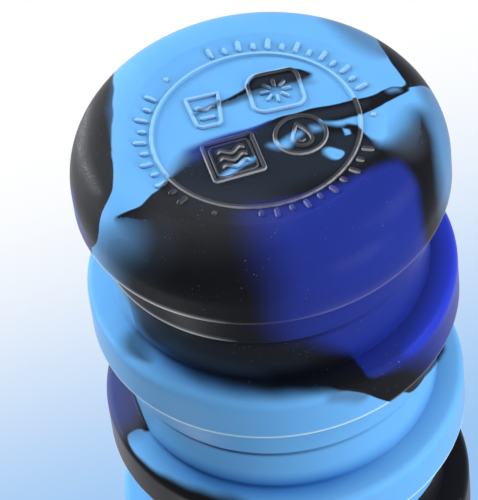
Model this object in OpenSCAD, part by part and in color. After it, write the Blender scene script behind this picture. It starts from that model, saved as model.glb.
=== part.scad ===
// Folding water bottle: a soft stepped body that folds ring by ring, a clamped hard neck,
// a screw lid with a flip spout, and a carabiner. Millimetres, +Z up, foot on z = 0.

/* [Body] */
// Outer radius of the rings
ring_r = 37; // [35:0.5:41]
// Wall of the rings, the base side and the shoulder
wall = 2.2; // [1.8:0.1:2.6]
// Thickness of the thin fold walls
web_t = 1.2; // [0.8:0.1:1.4]
// Height of each fold wall, from a lip to the next neck
skirt_h = 9.8; // [9:0.2:12]
// Height of each narrow neck
neck_h = 12.4; // [11:0.2:14]
// Height of each ring, from its crease to its lip
band_h = 11.9; // [10:0.1:13]
// How far a ring stands out from the crease of its neck
step_out = 5.4; // [5:0.1:6.4]
// Rounding of the lower edge of a ring
edge_r = 2; // [1:0.2:3]

/* [Base] */
// Height of the base cup, from the foot to its lip
base_h = 15.2; // [13:0.2:18]
// Rounding of the base edge
base_edge_r = 10.2; // [7:0.2:12]
// Thickness of the base floor
floor_t = 3; // [2:0.2:4]
// Depth of the dish inside the foot ring
dish = 1; // [0.6:0.1:1.4]
// Radius of the raised ring in the dish
mark_r = 19.6; // [15:0.2:22]

/* [Neck] */
// Height of the shoulder, from its crease to its flat top
shoulder_h = 16.4; // [14:0.2:20]
// Rounding of the shoulder
shoulder_r = 8; // [6:0.2:9]
// Inner radius of the silicone mouth
mouth_r = 23.6; // [22:0.2:24.4]
// Height of the silicone mouth above the shoulder
mouth_h = 7; // [5:0.2:9]
// Wall of the clamp collar
collar_wall = 3.7; // [2.6:0.1:4.2]
// Wall of the hard neck insert
insert_wall = 3.1; // [2.4:0.1:3.6]
// Height of the threaded part above the insert's flange
thread_h = 10.8; // [10:0.2:13]
// Rise of the thread in one turn
pitch = 4; // [3.6:0.1:4.4]

/* [Lid] */
// Thickness of the lid's side, from the thread to the grip
lid_side = 5.2; // [4.6:0.1:6]
// Thickness of the lid's top plate
plate_t = 2.6; // [2:0.1:3.4]
// Number of grip flutes around the lid
flutes = 24; // [12:1:32]
// Outer radius of the spout
spout_r = 8.5; // [7:0.1:9]
// Wall of the spout
spout_wall = 2.5; // [1.8:0.1:3]
// Height of the spout above the lid
spout_h = 12; // [10:0.5:13]
// Radial space between the spout and the flip cap
cap_space = 2.7; // [2.4:0.1:3.4]
// Distance of the flip hinge behind the spout
hinge_y = 20; // [19.5:0.1:21]
// Radius of the flip hinge pin
hinge_pin_r = 1.25; // [1:0.05:1.5]

/* [Carabiner] */
// Radius of the carabiner's rod
rod_r = 2.2; // [1.8:0.1:2.4]
// Width between the rod's two side centre lines
clip_w = 22; // [20:0.5:28]
// Height between the rod's two end centre lines
clip_h = 46; // [44:0.5:52]
// Bend radius of the rod's centre line
bend_r = 7; // [6:0.2:8]

/* [Hidden] */
$fn = 96;
// Clearances: pieces fixed together, pieces that pass each other, and pins that turn
fit_gap = 0.1;
run_gap = 0.3;
pin_gap = 0.05;

// Levels of the folding body
crease_r = ring_r - step_out;
neck_r = crease_r + 0.6;
lip_in_r = neck_r + web_t + run_gap;
skirt_top_r = neck_r + 0.9;
shelf_rise = 1.4;
lip_round = 0.5;
pitch_z = skirt_h + neck_h + band_h;
ring_count = 3;
function neck_z(k) = base_h + skirt_h + (k - 1) * pitch_z;
function lip_z(k) = k == 0 ? base_h : neck_z(k) + neck_h + band_h;
base_r = ring_r - 0.2;
foot_r = base_r - base_edge_r;
foot_w = 1.4;

// Levels of the neck and the lid
shoulder_z = neck_z(ring_count + 1);
shoulder_top = shoulder_z + neck_h + shoulder_h;
mouth_out_r = mouth_r + wall;
mouth_top = shoulder_top + mouth_h;
collar_r = mouth_out_r + fit_gap + collar_wall;
insert_r = mouth_r - fit_gap;
bore_r = insert_r - insert_wall;
insert_low = shoulder_top - wall;
flange_t = 1.6;
flange_top = mouth_top + flange_t;
rim_z = flange_top + thread_h;
ridge_h = 1.3;
lid_in_r = insert_r + ridge_h + 0.4;
lid_r = lid_in_r + lid_side;
lid_low = flange_top + 0.4;
gasket_t = 2;
ceiling_z = rim_z + gasket_t;
lid_top = ceiling_z + plate_t;
spout_bore_r = spout_r - spout_wall;
spout_top = lid_top + spout_h;
spout_flange_r = spout_r + 3.5;
vent_r = 1.5;
vent_at = [14, -9];

// Levels of the flip cap and its hinge
hinge_z = lid_top + 5;
knuckle_r = 3.2;
knuckle_w = 9.4;
ear_t = 3.6;
ear_x = knuckle_w / 2 + run_gap;
cap_in_r = spout_r + cap_space;
cap_wall = 2.2;
cap_r = cap_in_r + cap_wall;
cap_low = lid_top + 0.5;
seal_t = 2.2;
cap_ceiling = spout_top + seal_t;
cap_top = cap_ceiling + 2;

// Levels of the hanging lug and the carabiner
lug_t = 5.2;
lug_r = rod_r + 2.8;
lug_y = ring_r + rod_r + 1.3;
lug_z = lid_low + lug_r + 2;
gate_low = lug_z - clip_h + bend_r + 5.5;
gate_high = lug_z - bend_r - 4.5;
gate_pin_r = 0.8;
tongue_t = 1.8;
tongue_r = rod_r - 0.5;
spring_r = 0.9;
spring_h = 9.3;

// Points of an arc around c, from angle a0 to angle a1
function arc(c, r, a0, a1, n = 8) =
    [for (i = [0:n]) c + r * [cos(a0 + (a1 - a0) * i / n), sin(a0 + (a1 - a0) * i / n)]];

// Points of the lip that ends a ring or the base at height z, and of the wall inside it
function lip(r, z) = concat(
    arc([r - lip_round, z - lip_round], lip_round, 0, 90, 4),
    [[lip_in_r, z], [lip_in_r, z - 1.6], [r - wall, z - 1.6 - (r - wall - lip_in_r)]]);

// Points of the outside of a neck, its shelf and the edge of the ring above it
function step_outside() = concat(
    [[neck_r, 0], [crease_r, neck_h]],
    arc([ring_r - edge_r, neck_h + shelf_rise + edge_r], edge_r, -90, 0));

// Points of the inside of the same step, from the ring down to the neck
function step_inside() = [
    [ring_r - wall, neck_h + shelf_rise + wall],
    [crease_r - wall, neck_h + wall - 0.6],
    [neck_r - wall, 0]];

// A rod along X, centred
module x_rod(r, length) {
    rotate([0, 90, 0])
        cylinder(r = r, h = length, center = true);
}

// A rod along Y, centred
module y_rod(r, length) {
    rotate([90, 0, 0])
        cylinder(r = r, h = length, center = true);
}

// Height of the rounded thread, 0 to 1, at angle a and height z, fading out at z0 and z1
function thread_wave(a, z, z0, z1) =
    (0.5 + 0.5 * cos(360 * z / pitch - a)) * max(0, min(1, z - z0, z1 - z));

// A solid core of radius r with a thread of the given depth between heights z0 and z1;
// lift moves the thread up, and a negative depth makes the core of an inner thread
module thread_core(r, depth, lift, z0, z1, low, high) {
    columns = 40;
    rows = round((high - low) / 0.5);
    points = [for (i = [0:rows], j = [0:columns - 1])
        let (z = low + (high - low) * i / rows, a = 360 * j / columns,
             q = r + depth * thread_wave(a - 360 * lift / pitch, z, z0, z1))
        [q * cos(a), q * sin(a), z]];
    bottom = [for (j = [0:columns - 1]) j];
    top = [for (j = [columns - 1:-1:0]) rows * columns + j];
    sides = [for (i = [0:rows - 1], j = [0:columns - 1])
        let (a = i * columns + j, b = i * columns + (j + 1) % columns)
        for (f = [[a, a + columns, b], [b, a + columns, b + columns]]) f];
    polyhedron(points = points, faces = concat([bottom, top], sides));
}

// Height of the dish in the base at radius r: nearly flat, then rolling down to the foot ring
function dish_z(r) = dish * (1 - pow(r / (foot_r - foot_w), 4));

// The cup that the bottle stands on, with a dish and a raised ring in its face
module base_cup() {
    dish_steps = 12;
    floor_z = dish + floor_t;
    inner_edge = base_edge_r - wall;
    color([0.36, 0.66, 0.92])
    rotate_extrude()
        polygon(concat(
            [for (i = [0:dish_steps]) let (r = (foot_r - foot_w) * i / dish_steps)
                [r, dish_z(r)]],
            arc([foot_r, base_edge_r], base_edge_r, -90, 0, 12),
            lip(base_r, base_h),
            arc([foot_r, floor_z + inner_edge], inner_edge, 0, -90),
            [[0, floor_z]]));
    color([0.36, 0.66, 0.92])
    rotate_extrude()
        translate([mark_r, dish_z(mark_r) - 0.3])
            square([0.8, 1]);
}

// The thin wall that turns inside out when a stage folds; k counts from the base
module fold_skirt(k) {
    color([0.13, 0.16, 0.45])
    translate([0, 0, lip_z(k - 1)])
        rotate_extrude()
            polygon([
                [lip_in_r, 0],
                [lip_in_r + web_t, 0],
                [skirt_top_r, skirt_h],
                [neck_r - wall, skirt_h],
                [neck_r - wall, skirt_h - web_t],
                [skirt_top_r - web_t, skirt_h - web_t]]);
}

// One stiff stage: a neck, a shelf, a band and a lip
module ring(k) {
    color([0.36, 0.66, 0.92])
    translate([0, 0, neck_z(k)])
        rotate_extrude()
            polygon(concat(
                step_outside(),
                lip(ring_r, neck_h + band_h),
                step_inside()));
}

// The top stage, closed to a short mouth
module shoulder() {
    top = neck_h + shoulder_h;
    centre = [ring_r - shoulder_r, top - shoulder_r];
    color([0.36, 0.66, 0.92])
    translate([0, 0, shoulder_z])
        rotate_extrude()
            polygon(concat(
                step_outside(),
                arc(centre, shoulder_r, 0, 90, 10),
                [[mouth_out_r, top], [mouth_out_r, top + mouth_h],
                 [mouth_r, top + mouth_h], [mouth_r, top - wall]],
                arc(centre, shoulder_r - wall, 90, 0),
                step_inside()));
}

// The hard ring that clamps the silicone mouth on the insert
module clamp_collar() {
    color([0.12, 0.12, 0.13])
    translate([0, 0, shoulder_top])
        rotate_extrude()
            polygon([
                [mouth_out_r + fit_gap, 0],
                [collar_r - 0.8, 0],
                [collar_r, 0.8],
                [collar_r, mouth_h],
                [mouth_out_r + fit_gap, mouth_h]]);
}

// The hard sleeve in the silicone mouth, with a flange on each side and the outer thread
module neck_insert() {
    color([0.85, 0.87, 0.9])
    difference() {
        union() {
            rotate_extrude()
                polygon([
                    [0, insert_low - flange_t],
                    [insert_r + 3, insert_low - flange_t],
                    [insert_r + 3, insert_low],
                    [insert_r, insert_low],
                    [insert_r, mouth_top],
                    [collar_r, mouth_top],
                    [collar_r, flange_top],
                    [0, flange_top]]);
            thread_core(insert_r, ridge_h, 0, flange_top + 0.5, rim_z - 0.5,
                        flange_top - 0.5, rim_z);
        }
        translate([0, 0, insert_low - flange_t - 1])
            cylinder(r = bore_r, h = rim_z - insert_low + flange_t + 2);
    }
}

// The flat seal between the insert's rim and the lid
module lid_gasket() {
    color([0.93, 0.94, 0.95])
    translate([0, 0, rim_z])
        difference() {
            cylinder(r = insert_r + 0.6, h = gasket_t);
            translate([0, 0, -1])
                cylinder(r = bore_r + 0.4, h = gasket_t + 2);
        }
}

// The lid's turned shell: a grip wall, a groove, the inner thread and the top plate
module lid_shell() {
    top_r = 2.4;
    groove_in = lid_in_r + 1.6;
    groove_out = lid_r - 2.2;
    difference() {
        rotate_extrude()
            polygon(concat(
                [[0, lid_low], [lid_r - 0.6, lid_low], [lid_r, lid_low + 0.6]],
                arc([lid_r - top_r, lid_top - top_r], top_r, 0, 90),
                [[0, lid_top]]));
        thread_core(lid_in_r, -ridge_h, pitch / 2, lid_low + 0.5, rim_z - 0.5,
                    lid_low - 0.5, ceiling_z);
        rotate_extrude()
            translate([groove_in, lid_low - 1])
                square([groove_out - groove_in, ceiling_z - lid_low - 1]);
        for (i = [0:flutes - 1])
            rotate([0, 0, 360 * (i + 0.5) / flutes])
                translate([lid_r + 1.3, 0, lid_low - 1])
                    cylinder(r = 2, h = lid_top - lid_low - 3);
        translate([0, 0, ceiling_z - 1])
            cylinder(r = spout_r + fit_gap, h = plate_t + 2);
        translate([vent_at[0], vent_at[1], ceiling_z - 1])
            cylinder(r = vent_r + fit_gap, h = plate_t + 2);
    }
}

// One of the two ears that hold the flip hinge pin, on the side s
module hinge_ear(s) {
    x = s * (ear_x + ear_t / 2);
    translate([x, hinge_y, hinge_z])
        x_rod(knuckle_r, ear_t);
    translate([x - ear_t / 2, hinge_y - knuckle_r, lid_top - 0.5])
        cube([ear_t, 2 * knuckle_r, hinge_z - lid_top + 0.5]);
}

// The screw lid with its hinge ears and the lug for the carabiner
module lid() {
    color([0.12, 0.12, 0.13])
    difference() {
        union() {
            lid_shell();
            hinge_ear(-1);
            hinge_ear(1);
            translate([-lug_t / 2, lid_r - 1.5, lug_z - lug_r])
                cube([lug_t, lug_y - lid_r + 1.5, 2 * lug_r]);
            translate([0, lug_y, lug_z])
                x_rod(lug_r, lug_t);
        }
        translate([0, hinge_y, hinge_z])
            x_rod(hinge_pin_r + pin_gap, 40);
        translate([0, lug_y, lug_z])
            x_rod(rod_r + run_gap, 20);
    }
}

// The drinking spout, held under the lid's plate by its flange
module spout() {
    color([0.36, 0.66, 0.92])
    rotate_extrude()
        polygon(concat(
            [[spout_bore_r, ceiling_z - 1.5], [spout_flange_r, ceiling_z - 1.5],
             [spout_flange_r, ceiling_z], [spout_r, ceiling_z]],
            arc([spout_r - 0.8, spout_top - 0.8], 0.8, 0, 90, 4),
            [[spout_bore_r, spout_top]]));
}

// The small mushroom valve that lets air in beside the spout
module vent_valve() {
    color([0.93, 0.94, 0.95])
    translate([vent_at[0], vent_at[1], 0]) {
        translate([0, 0, ceiling_z - 1.2])
            cylinder(r = vent_r + 1.5, h = 1.2);
        translate([0, 0, ceiling_z - 1])
            cylinder(r = vent_r, h = plate_t + 1.4);
        translate([0, 0, lid_top])
            cylinder(r = vent_r + 0.6, h = 0.6);
    }
}

// The cap over the spout, with a thumb tab in front and its hinge knuckle behind
module flip_cap() {
    tab_w = 12;
    edge = 3;
    color([0.12, 0.12, 0.13])
    difference() {
        union() {
            rotate_extrude()
                polygon(concat(
                    [[0, cap_low], [cap_r, cap_low]],
                    arc([cap_r - edge, cap_top - edge], edge, 0, 90),
                    [[0, cap_top]]));
            translate([-tab_w / 2, -cap_r - 4, cap_low])
                cube([tab_w, cap_r, 2.6]);
            translate([0, -cap_r - 4, cap_low + 1.3])
                x_rod(1.3, tab_w);
            translate([-knuckle_w / 2, cap_in_r, hinge_z - 2.4])
                cube([knuckle_w, hinge_y - cap_in_r, 4.8]);
            translate([0, hinge_y, hinge_z])
                x_rod(knuckle_r, knuckle_w);
        }
        translate([0, 0, cap_low - 1])
            cylinder(r = cap_in_r, h = cap_ceiling - cap_low + 1);
        translate([0, hinge_y, hinge_z])
            x_rod(hinge_pin_r + pin_gap, 40);
    }
}

// The soft disc in the flip cap that closes the spout
module spout_seal() {
    color([0.93, 0.94, 0.95])
    translate([0, 0, spout_top])
        cylinder(r = spout_r + 1.2, h = seal_t);
}

// The steel pin of the flip hinge
module flip_hinge_pin() {
    color([0.75, 0.76, 0.78])
    translate([0, hinge_y, hinge_z])
        x_rod(hinge_pin_r, 2 * (ear_x + ear_t));
}

// A quarter bend of the carabiner's rod at the corner (sx, sz) of its frame
module bend(sx, sz) {
    turn = sx > 0 ? (sz > 0 ? 0 : 270) : (sz > 0 ? 90 : 180);
    translate([sx * (clip_w / 2 - bend_r), 0, sz * (clip_h / 2 - bend_r)])
        rotate([90, 0, 0])
            rotate([0, 0, turn])
                rotate_extrude(angle = 90)
                    translate([bend_r, 0])
                        circle(r = rod_r);
}

// The carabiner's bent rod, with a tongue for the gate
module carabiner_body() {
    mid_z = lug_z - clip_h / 2;
    side = clip_h - 2 * bend_r;
    end = clip_w - 2 * bend_r;
    stub_h = gate_low - rod_r - run_gap - (mid_z - side / 2);
    color([0.62, 0.65, 0.7])
    difference() {
        translate([0, lug_y, 0])
        union() {
            translate([0, 0, mid_z]) {
                bend(1, 1);
                bend(1, -1);
                bend(-1, 1);
                bend(-1, -1);
                translate([0, 0, clip_h / 2])
                    x_rod(rod_r, end);
                translate([0, 0, -clip_h / 2])
                    x_rod(rod_r, end);
                translate([-clip_w / 2, 0, -side / 2])
                    cylinder(r = rod_r, h = side);
                translate([clip_w / 2, 0, -side / 2])
                    cylinder(r = rod_r, h = stub_h);
            }
            translate([clip_w / 2, 0, gate_high])
                cylinder(r = rod_r, h = mid_z + side / 2 - gate_high);
            translate([clip_w / 2, 0, gate_low]) {
                y_rod(tongue_r, tongue_t);
                translate([-tongue_r, -tongue_t / 2, -rod_r - run_gap - 0.5])
                    cube([2 * tongue_r, tongue_t, rod_r + run_gap + 0.5]);
            }
        }
        translate([clip_w / 2, lug_y, gate_low])
            y_rod(gate_pin_r + pin_gap, 10);
    }
}

// The sprung gate of the carabiner, hollow for its spring and slotted over the tongue
module carabiner_gate() {
    slot = tongue_t + 2 * run_gap;
    color([0.5, 0.53, 0.58])
    translate([clip_w / 2, lug_y, gate_low])
        difference() {
            union() {
                cylinder(r = rod_r, h = gate_high - run_gap - gate_low);
                sphere(r = rod_r);
            }
            translate([-rod_r - 1, -slot / 2, -rod_r - 1])
                cube([2 * rod_r + 2, slot, 2 * rod_r + 1.1]);
            y_rod(gate_pin_r + pin_gap, 10);
            cylinder(r = spring_r + fit_gap, h = rod_r + 0.3 + spring_h);
        }
}

// The pin that the gate turns on
module gate_pin() {
    color([0.75, 0.76, 0.78])
    translate([clip_w / 2, lug_y, gate_low])
        y_rod(gate_pin_r, 2 * rod_r - 0.4);
}

// The coil spring in the gate, as a sleeve of its outer size
module gate_spring() {
    color([0.75, 0.76, 0.78])
    translate([clip_w / 2, lug_y, gate_low + rod_r])
        difference() {
            cylinder(r = spring_r, h = spring_h);
            translate([0, 0, -1])
                cylinder(r = spring_r - 0.4, h = spring_h + 2);
        }
}

base_cup();
fold_skirt(1);  // fold_skirt_1
ring(1);  // ring_1
fold_skirt(2);  // fold_skirt_2
ring(2);  // ring_2
fold_skirt(3);  // fold_skirt_3
ring(3);  // ring_3
fold_skirt(4);  // fold_skirt_4
shoulder();
clamp_collar();
neck_insert();
lid_gasket();
lid();
spout();
vent_valve();
flip_cap();
spout_seal();
flip_hinge_pin();
carabiner_body();
carabiner_gate();
gate_pin();
gate_spring();
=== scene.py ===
import math

import bpy
import numpy as np
from mathutils import Matrix, Vector, noise


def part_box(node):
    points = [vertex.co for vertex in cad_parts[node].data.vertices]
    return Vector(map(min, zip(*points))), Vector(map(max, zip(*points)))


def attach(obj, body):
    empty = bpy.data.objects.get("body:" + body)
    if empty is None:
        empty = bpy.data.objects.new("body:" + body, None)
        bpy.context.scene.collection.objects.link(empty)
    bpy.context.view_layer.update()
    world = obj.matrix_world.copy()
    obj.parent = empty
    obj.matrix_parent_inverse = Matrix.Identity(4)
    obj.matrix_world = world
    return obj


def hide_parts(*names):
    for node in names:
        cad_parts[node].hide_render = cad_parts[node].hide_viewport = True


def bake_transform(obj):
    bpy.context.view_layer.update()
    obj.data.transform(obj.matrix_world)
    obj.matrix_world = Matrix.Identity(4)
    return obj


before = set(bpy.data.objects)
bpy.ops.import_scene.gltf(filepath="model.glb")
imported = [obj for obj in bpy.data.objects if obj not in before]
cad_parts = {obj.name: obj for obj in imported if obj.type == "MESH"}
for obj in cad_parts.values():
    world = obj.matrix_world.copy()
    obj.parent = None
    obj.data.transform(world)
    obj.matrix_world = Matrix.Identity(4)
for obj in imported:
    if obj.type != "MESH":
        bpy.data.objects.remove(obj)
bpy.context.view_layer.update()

# A folding water bottle of marbled silicone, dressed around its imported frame.
# Sizes below are millimetres; meshes are made in metres.
MM = 0.001


def top_of(node):
    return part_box(node)[1].z / MM


def foot_of(node):
    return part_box(node)[0].z / MM


def radius_of(node):
    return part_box(node)[1].x / MM


# Sizes of the folding body, read from the frame where it gives them
RING_R = radius_of("ring_1")
BASE_R = radius_of("base_cup")
SKIRT_R = radius_of("fold_skirt_1")
LIP_Z = [top_of(n) for n in ("base_cup", "ring_1", "ring_2", "ring_3")]
NECK_Z = [foot_of(n) for n in ("ring_1", "ring_2", "ring_3", "shoulder")]
MOUTH_TOP = top_of("shoulder")
SKIRT_H = NECK_Z[0] - LIP_Z[0]
WALL = 2.2
WEB = 1.2
LIP_IN_R = SKIRT_R - WEB
CREASE_R = RING_R - 5.4
NECK_R = CREASE_R + 0.6
SKIRT_TOP_R = NECK_R + 0.9
NECK_H = 12.4
SHELF_RISE = 1.4
BAND_EDGE = 2.0
LIP_ROUND = 0.5
LIP_DEPTH = 1.6
LIP_SHINE = 0.4
FOLD_MID = 0.24
# How far, in millimetres, the lips' painted highlight, painted glint and painted sheen reach, and the
# creases' painted shade and painted dark lines
LIP_HIGHLIGHT_MM, LIP_GLINT_MM, LIP_SHEEN_MM = 0.42, 0.8, 5.0
SHELF_SHADE, CREASE_LINE, FOOT_LINE = 4.6, 0.7, 1.3
# Sizes of the base
BASE_EDGE = 10.2
FOOT_R = BASE_R - BASE_EDGE
DISH_R = FOOT_R - 1.4
DISH = 1.0
DISH_POWER = 9
FLOOR_IN = 4.0
MARK_R = 20.0
MARK_W = 1.1
MARK_H = 0.55
# Painted highlights and painted shade of the raised marks: tops, the two flanks, and the feet; one flank
# takes more highlight than the other, and shade falls on the feet that face -Y
MARK_TOP_HIGHLIGHT = 0.34
SIGN_HIGHLIGHT = (0.95, 0.3)
CIRCLE_HIGHLIGHT = (0.95, 0.15)
DOT_HIGHLIGHT = 0.2
FOOT_SHADE = 0.8
# Sizes of the shoulder and its mouth
SHOULDER_H = 16.4
SHOULDER_ROUND = 8.0
MOUTH_R = 23.6
# Meshes
TURN_STEPS = 288
FINE_STEP = 0.6
COARSE_STEP = 2.2


def rounded(corners, steps=6):
    """A line through corners (r, z, radius), with an arc of that radius at each inner corner."""
    line = [corners[0][:2]]
    for before, here, after in zip(corners, corners[1:], corners[2:]):
        p = np.array(here[:2], float)
        radius = here[2] if len(here) > 2 else 0
        if radius <= 0:
            line.append(tuple(p))
            continue
        a = np.array(before[:2], float) - p
        b = np.array(after[:2], float) - p
        a /= np.linalg.norm(a)
        b /= np.linalg.norm(b)
        half = math.acos(max(-1.0, min(1.0, float(a @ b)))) / 2
        middle = a + b
        middle /= np.linalg.norm(middle)
        centre = p + middle * radius / math.sin(half)
        start = p + a * radius / math.tan(half) - centre
        end = p + b * radius / math.tan(half) - centre
        sweep = math.pi - 2 * half
        for i in range(steps + 1):
            t = i / steps
            weight_a = math.sin((1 - t) * sweep) / math.sin(sweep)
            weight_b = math.sin(t * sweep) / math.sin(sweep)
            line.append(tuple(centre + weight_a * start + weight_b * end))
    line.append(corners[-1][:2])
    return line


def spaced(line, step):
    """The same line with points added so that none lie further apart than step."""
    points = [line[0]]
    for a, b in zip(line, line[1:]):
        length = math.dist(a, b)
        if length < 1e-6:
            continue
        count = max(1, math.ceil(length / step))
        for i in range(1, count + 1):
            t = i / count
            points.append((a[0] + (b[0] - a[0]) * t, a[1] + (b[1] - a[1]) * t))
    return points


def lengths(line):
    """How far along the line each of its points lies."""
    steps = [math.dist(a, b) for a, b in zip(line, line[1:])]
    return np.concatenate([[0.0], np.cumsum(steps)])


def new_piece(name, points_mm, faces, sharp_deg=40):
    """A smooth-shaded mesh object from points in millimetres."""
    mesh = bpy.data.meshes.new(name)
    mesh.from_pydata((np.asarray(points_mm, float) * MM).tolist(), [], faces)
    mesh.validate()
    mesh.polygons.foreach_set("use_smooth", [True] * len(mesh.polygons))
    mesh.set_sharp_from_angle(angle=math.radians(sharp_deg))
    mesh.update()
    piece = bpy.data.objects.new(name, mesh)
    bpy.context.scene.collection.objects.link(piece)
    return piece


def tube_faces(rows, around, first=0, closed=False, outward=True):
    """Faces between rows of points, each row a loop of as many points as lie around; a closed tube
    joins its last row to its first."""
    faces = []
    for i in range(rows if closed else rows - 1):
        a, b = first + i * around, first + (i + 1) % rows * around
        for j in range(around):
            k = (j + 1) % around
            face = (a + j, a + k, b + k, b + j) if outward else (a + j, b + j, b + k, a + k)
            faces.append(face)
    return faces


def turned(name, line, steps=TURN_STEPS, centre=(0, 0)):
    """A turned solid from a closed line of (r, z), or from an open one that ends on the axis.
    Gives the piece, and for each of its points the row of the line and the angle."""
    on_axis = line[0][0] < 1e-6
    rows = line[1:-1] if on_axis else line
    turn = np.arange(steps) * 2 * math.pi / steps
    r = np.array([p[0] for p in rows])[:, None]
    z = np.array([p[1] for p in rows])[:, None] + 0 * turn
    points = np.stack([r * np.cos(turn), r * np.sin(turn), z], 2).reshape(-1, 3)
    row = np.repeat(np.arange(len(rows)), steps) + (1 if on_axis else 0)
    angle = np.tile(turn, len(rows))
    faces = tube_faces(len(rows), steps, closed=not on_axis)
    if on_axis:
        first = len(points)
        last = first - steps
        ends = [(0, 0, line[0][1]), (0, 0, line[-1][1])]
        points = np.vstack([points, ends])
        row = np.concatenate([row, [0, len(line) - 1]])
        angle = np.concatenate([angle, [0, 0]])
        for j in range(steps):
            k = (j + 1) % steps
            faces.append((first, k, j))
            faces.append((first + 1, last + j, last + k))
    points[:, :2] += centre
    return new_piece(name, points, faces), row, angle


# Marbling. A patch is an outline of points (across, along, softness): the softness is the half
# width, in millimetres, of the colour's edge from that point to the next. On the base the two
# coordinates are x and y of its face, rolled flat. On a ring or fold wall they are the angle
# from the front in degrees, positive towards -X, and the length up from its lower edge.
FRONT_MM = 0.64
BASE_BLACK = [
    # Left edge of the base
    [(26.9, 24.5, .5), (26, 20, 1.6), (24.9, 14, 4), (25.6, 8.5, 4), (26.6, 3.5, 2), (27.7, -1.5, .3),
     (27.8, -5, .15), (28, -10, .15), (28.6, -12, .15), (30.5, -14.3, .15), (32.5, -16.2, .15),
     (34.2, -18.3, .15), (36.3, -19.3, .15), (39.2, -18.8, .15), (42, -18.2, .2), (52, -20, .5),
     (52, 30, 1), (33, 35, 1), (27.5, 30, .6)],
    # Right edge of the base
    [(-15, 32, .8), (-20, 29.3, .5), (-25.3, 25.3, .3), (-26, 23.5, .25), (-26.5, 18, .2),
     (-27.5, 14, .2), (-28.8, 10, .2), (-29.8, 7.5, .2), (-29, 6.5, .2), (-31, 6.6, .2),
     (-33.5, 8.5, .2), (-37, 10.4, .2), (-44, 13.2, .3), (-50, 20, 1), (-38, 36, 1), (-22, 42, 1)],
    # The diagonal band, the middle and the lower part
    [(-30.5, 6, .2), (-27.3, 6.3, .2), (-25.5, 5.6, .2), (-23.7, 5.1, .15), (-20, 4.8, .15),
     (-15, 4.3, .15), (-10, 3.6, .15), (-5, 2.6, .2), (0, .9, .5), (5, -.9, .8), (8.5, -2.2, 1.2),
     (10.8, -3.3, 1.7), (12.6, -4.8, 2), (14.2, -6.4, 1.7), (15.6, -8.2, 1), (17.2, -10.2, .4),
     (19.7, -13, .2), (22.7, -16.4, .15), (25.5, -17.1, .15), (28.6, -17.5, .4), (28, -18.6, 1.8),
     (26.4, -20.2, 3.4), (25, -22.4, 5), (26, -24.4, 5.5), (29.5, -24.5, 6.5), (33, -25.5, 6.5),
     (35, -27.5, 6), (36.5, -30, 5), (36, -36, 4), (30, -44, 4), (22, -50, 4), (10, -58, 2),
     (-30, -54, 2), (-46, -36, 4), (-46, -19, 6), (-39, -17, 5), (-36.2, -13.5, 3.4),
     (-35, -9.5, 2.2), (-34.4, -6, 2), (-33.8, -2.6, 2.4), (-33.2, -.5, 3.2), (-32, .4, 3.6),
     (-30.6, 0, 3.6), (-29.5, -2.1, 4),
     (-28.4, -4.5, 4.8), (-27, -6.7, 4.8), (-25.4, -8, 3.8), (-23.2, -7.9, 2), (-21.6, -6.4, .6),
     (-20.6, -4.8, .3), (-19.6, -3, .25), (-19.5, -1.2, .2), (-20.4, .5, .2), (-22.7, 1.4, .2),
     (-25, 2.1, .2), (-27.3, 3.2, .2), (-29.5, 4.8, .2)],
    # A streak through the upper face
    [(-12, 13, .5), (-10.4, 14.2, .25), (-9.5, 14.7, .2), (-8.1, 15, .15), (-4.8, 14.6, .15),
     (-1.4, 14.2, .15), (0, 13.2, .15), (.5, 12.1, .2), (1.6, 11, .25), (4, 9.6, .3), (5.6, 8.9, .4),
     (7.6, 8, .8), (9.2, 7.2, .8), (11.2, 5.9, .8), (11.4, 5.4, .9), (9.4, 6.4, 1), (7, 7.2, 1.1),
     (4.6, 8, 1.2), (2.4, 8.7, 1.3),
     (.4, 9.4, 1.4), (-2, 10, 1.3), (-4.2, 10.4, .9), (-6.5, 10.9, 1), (-9, 11.1, 1.2), (-11, 11.6, 1.4)],
]
BASE_ROYAL = [
    # The lower right
    [(3, -21, 5), (2, -26, 6.5), (1, -32, 7), (0, -38, 6.5), (-1, -54, 5), (-30, -58, 2),
     (-50, -38, 2), (-37, -28, 2), (-32.5, -25.5, 2.4), (-30.3, -21.5, 1.8), (-29.6, -18.8, 1.6),
     (-28.5, -16.2, 1.6), (-27, -14, 1.6), (-25.6, -13.2, 1.6), (-22.4, -14, 1.7),
     (-16, -16, 1.8), (-9, -18.5, 2), (-3, -19.8, 3)],
    # A soft seam along the diagonal band
    [(13.4, -3.4, 1.8), (9.5, -1.5, 1), (4.4, 0, .6), (0, 1.1, .4), (-3, 2, .4), (-1, .8, 1.4),
     (4, -1.4, 2.2), (8.5, -3.4, 2.6), (12, -5.6, 2.8)],
    # The left lip
    [(40.4, -3, .6), (39.9, -9, .5), (40.1, -14, .5), (41.2, -17, .4), (42.6, -18, .4),
     (52, -18, .4), (52, -2, 1)],
]
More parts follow.
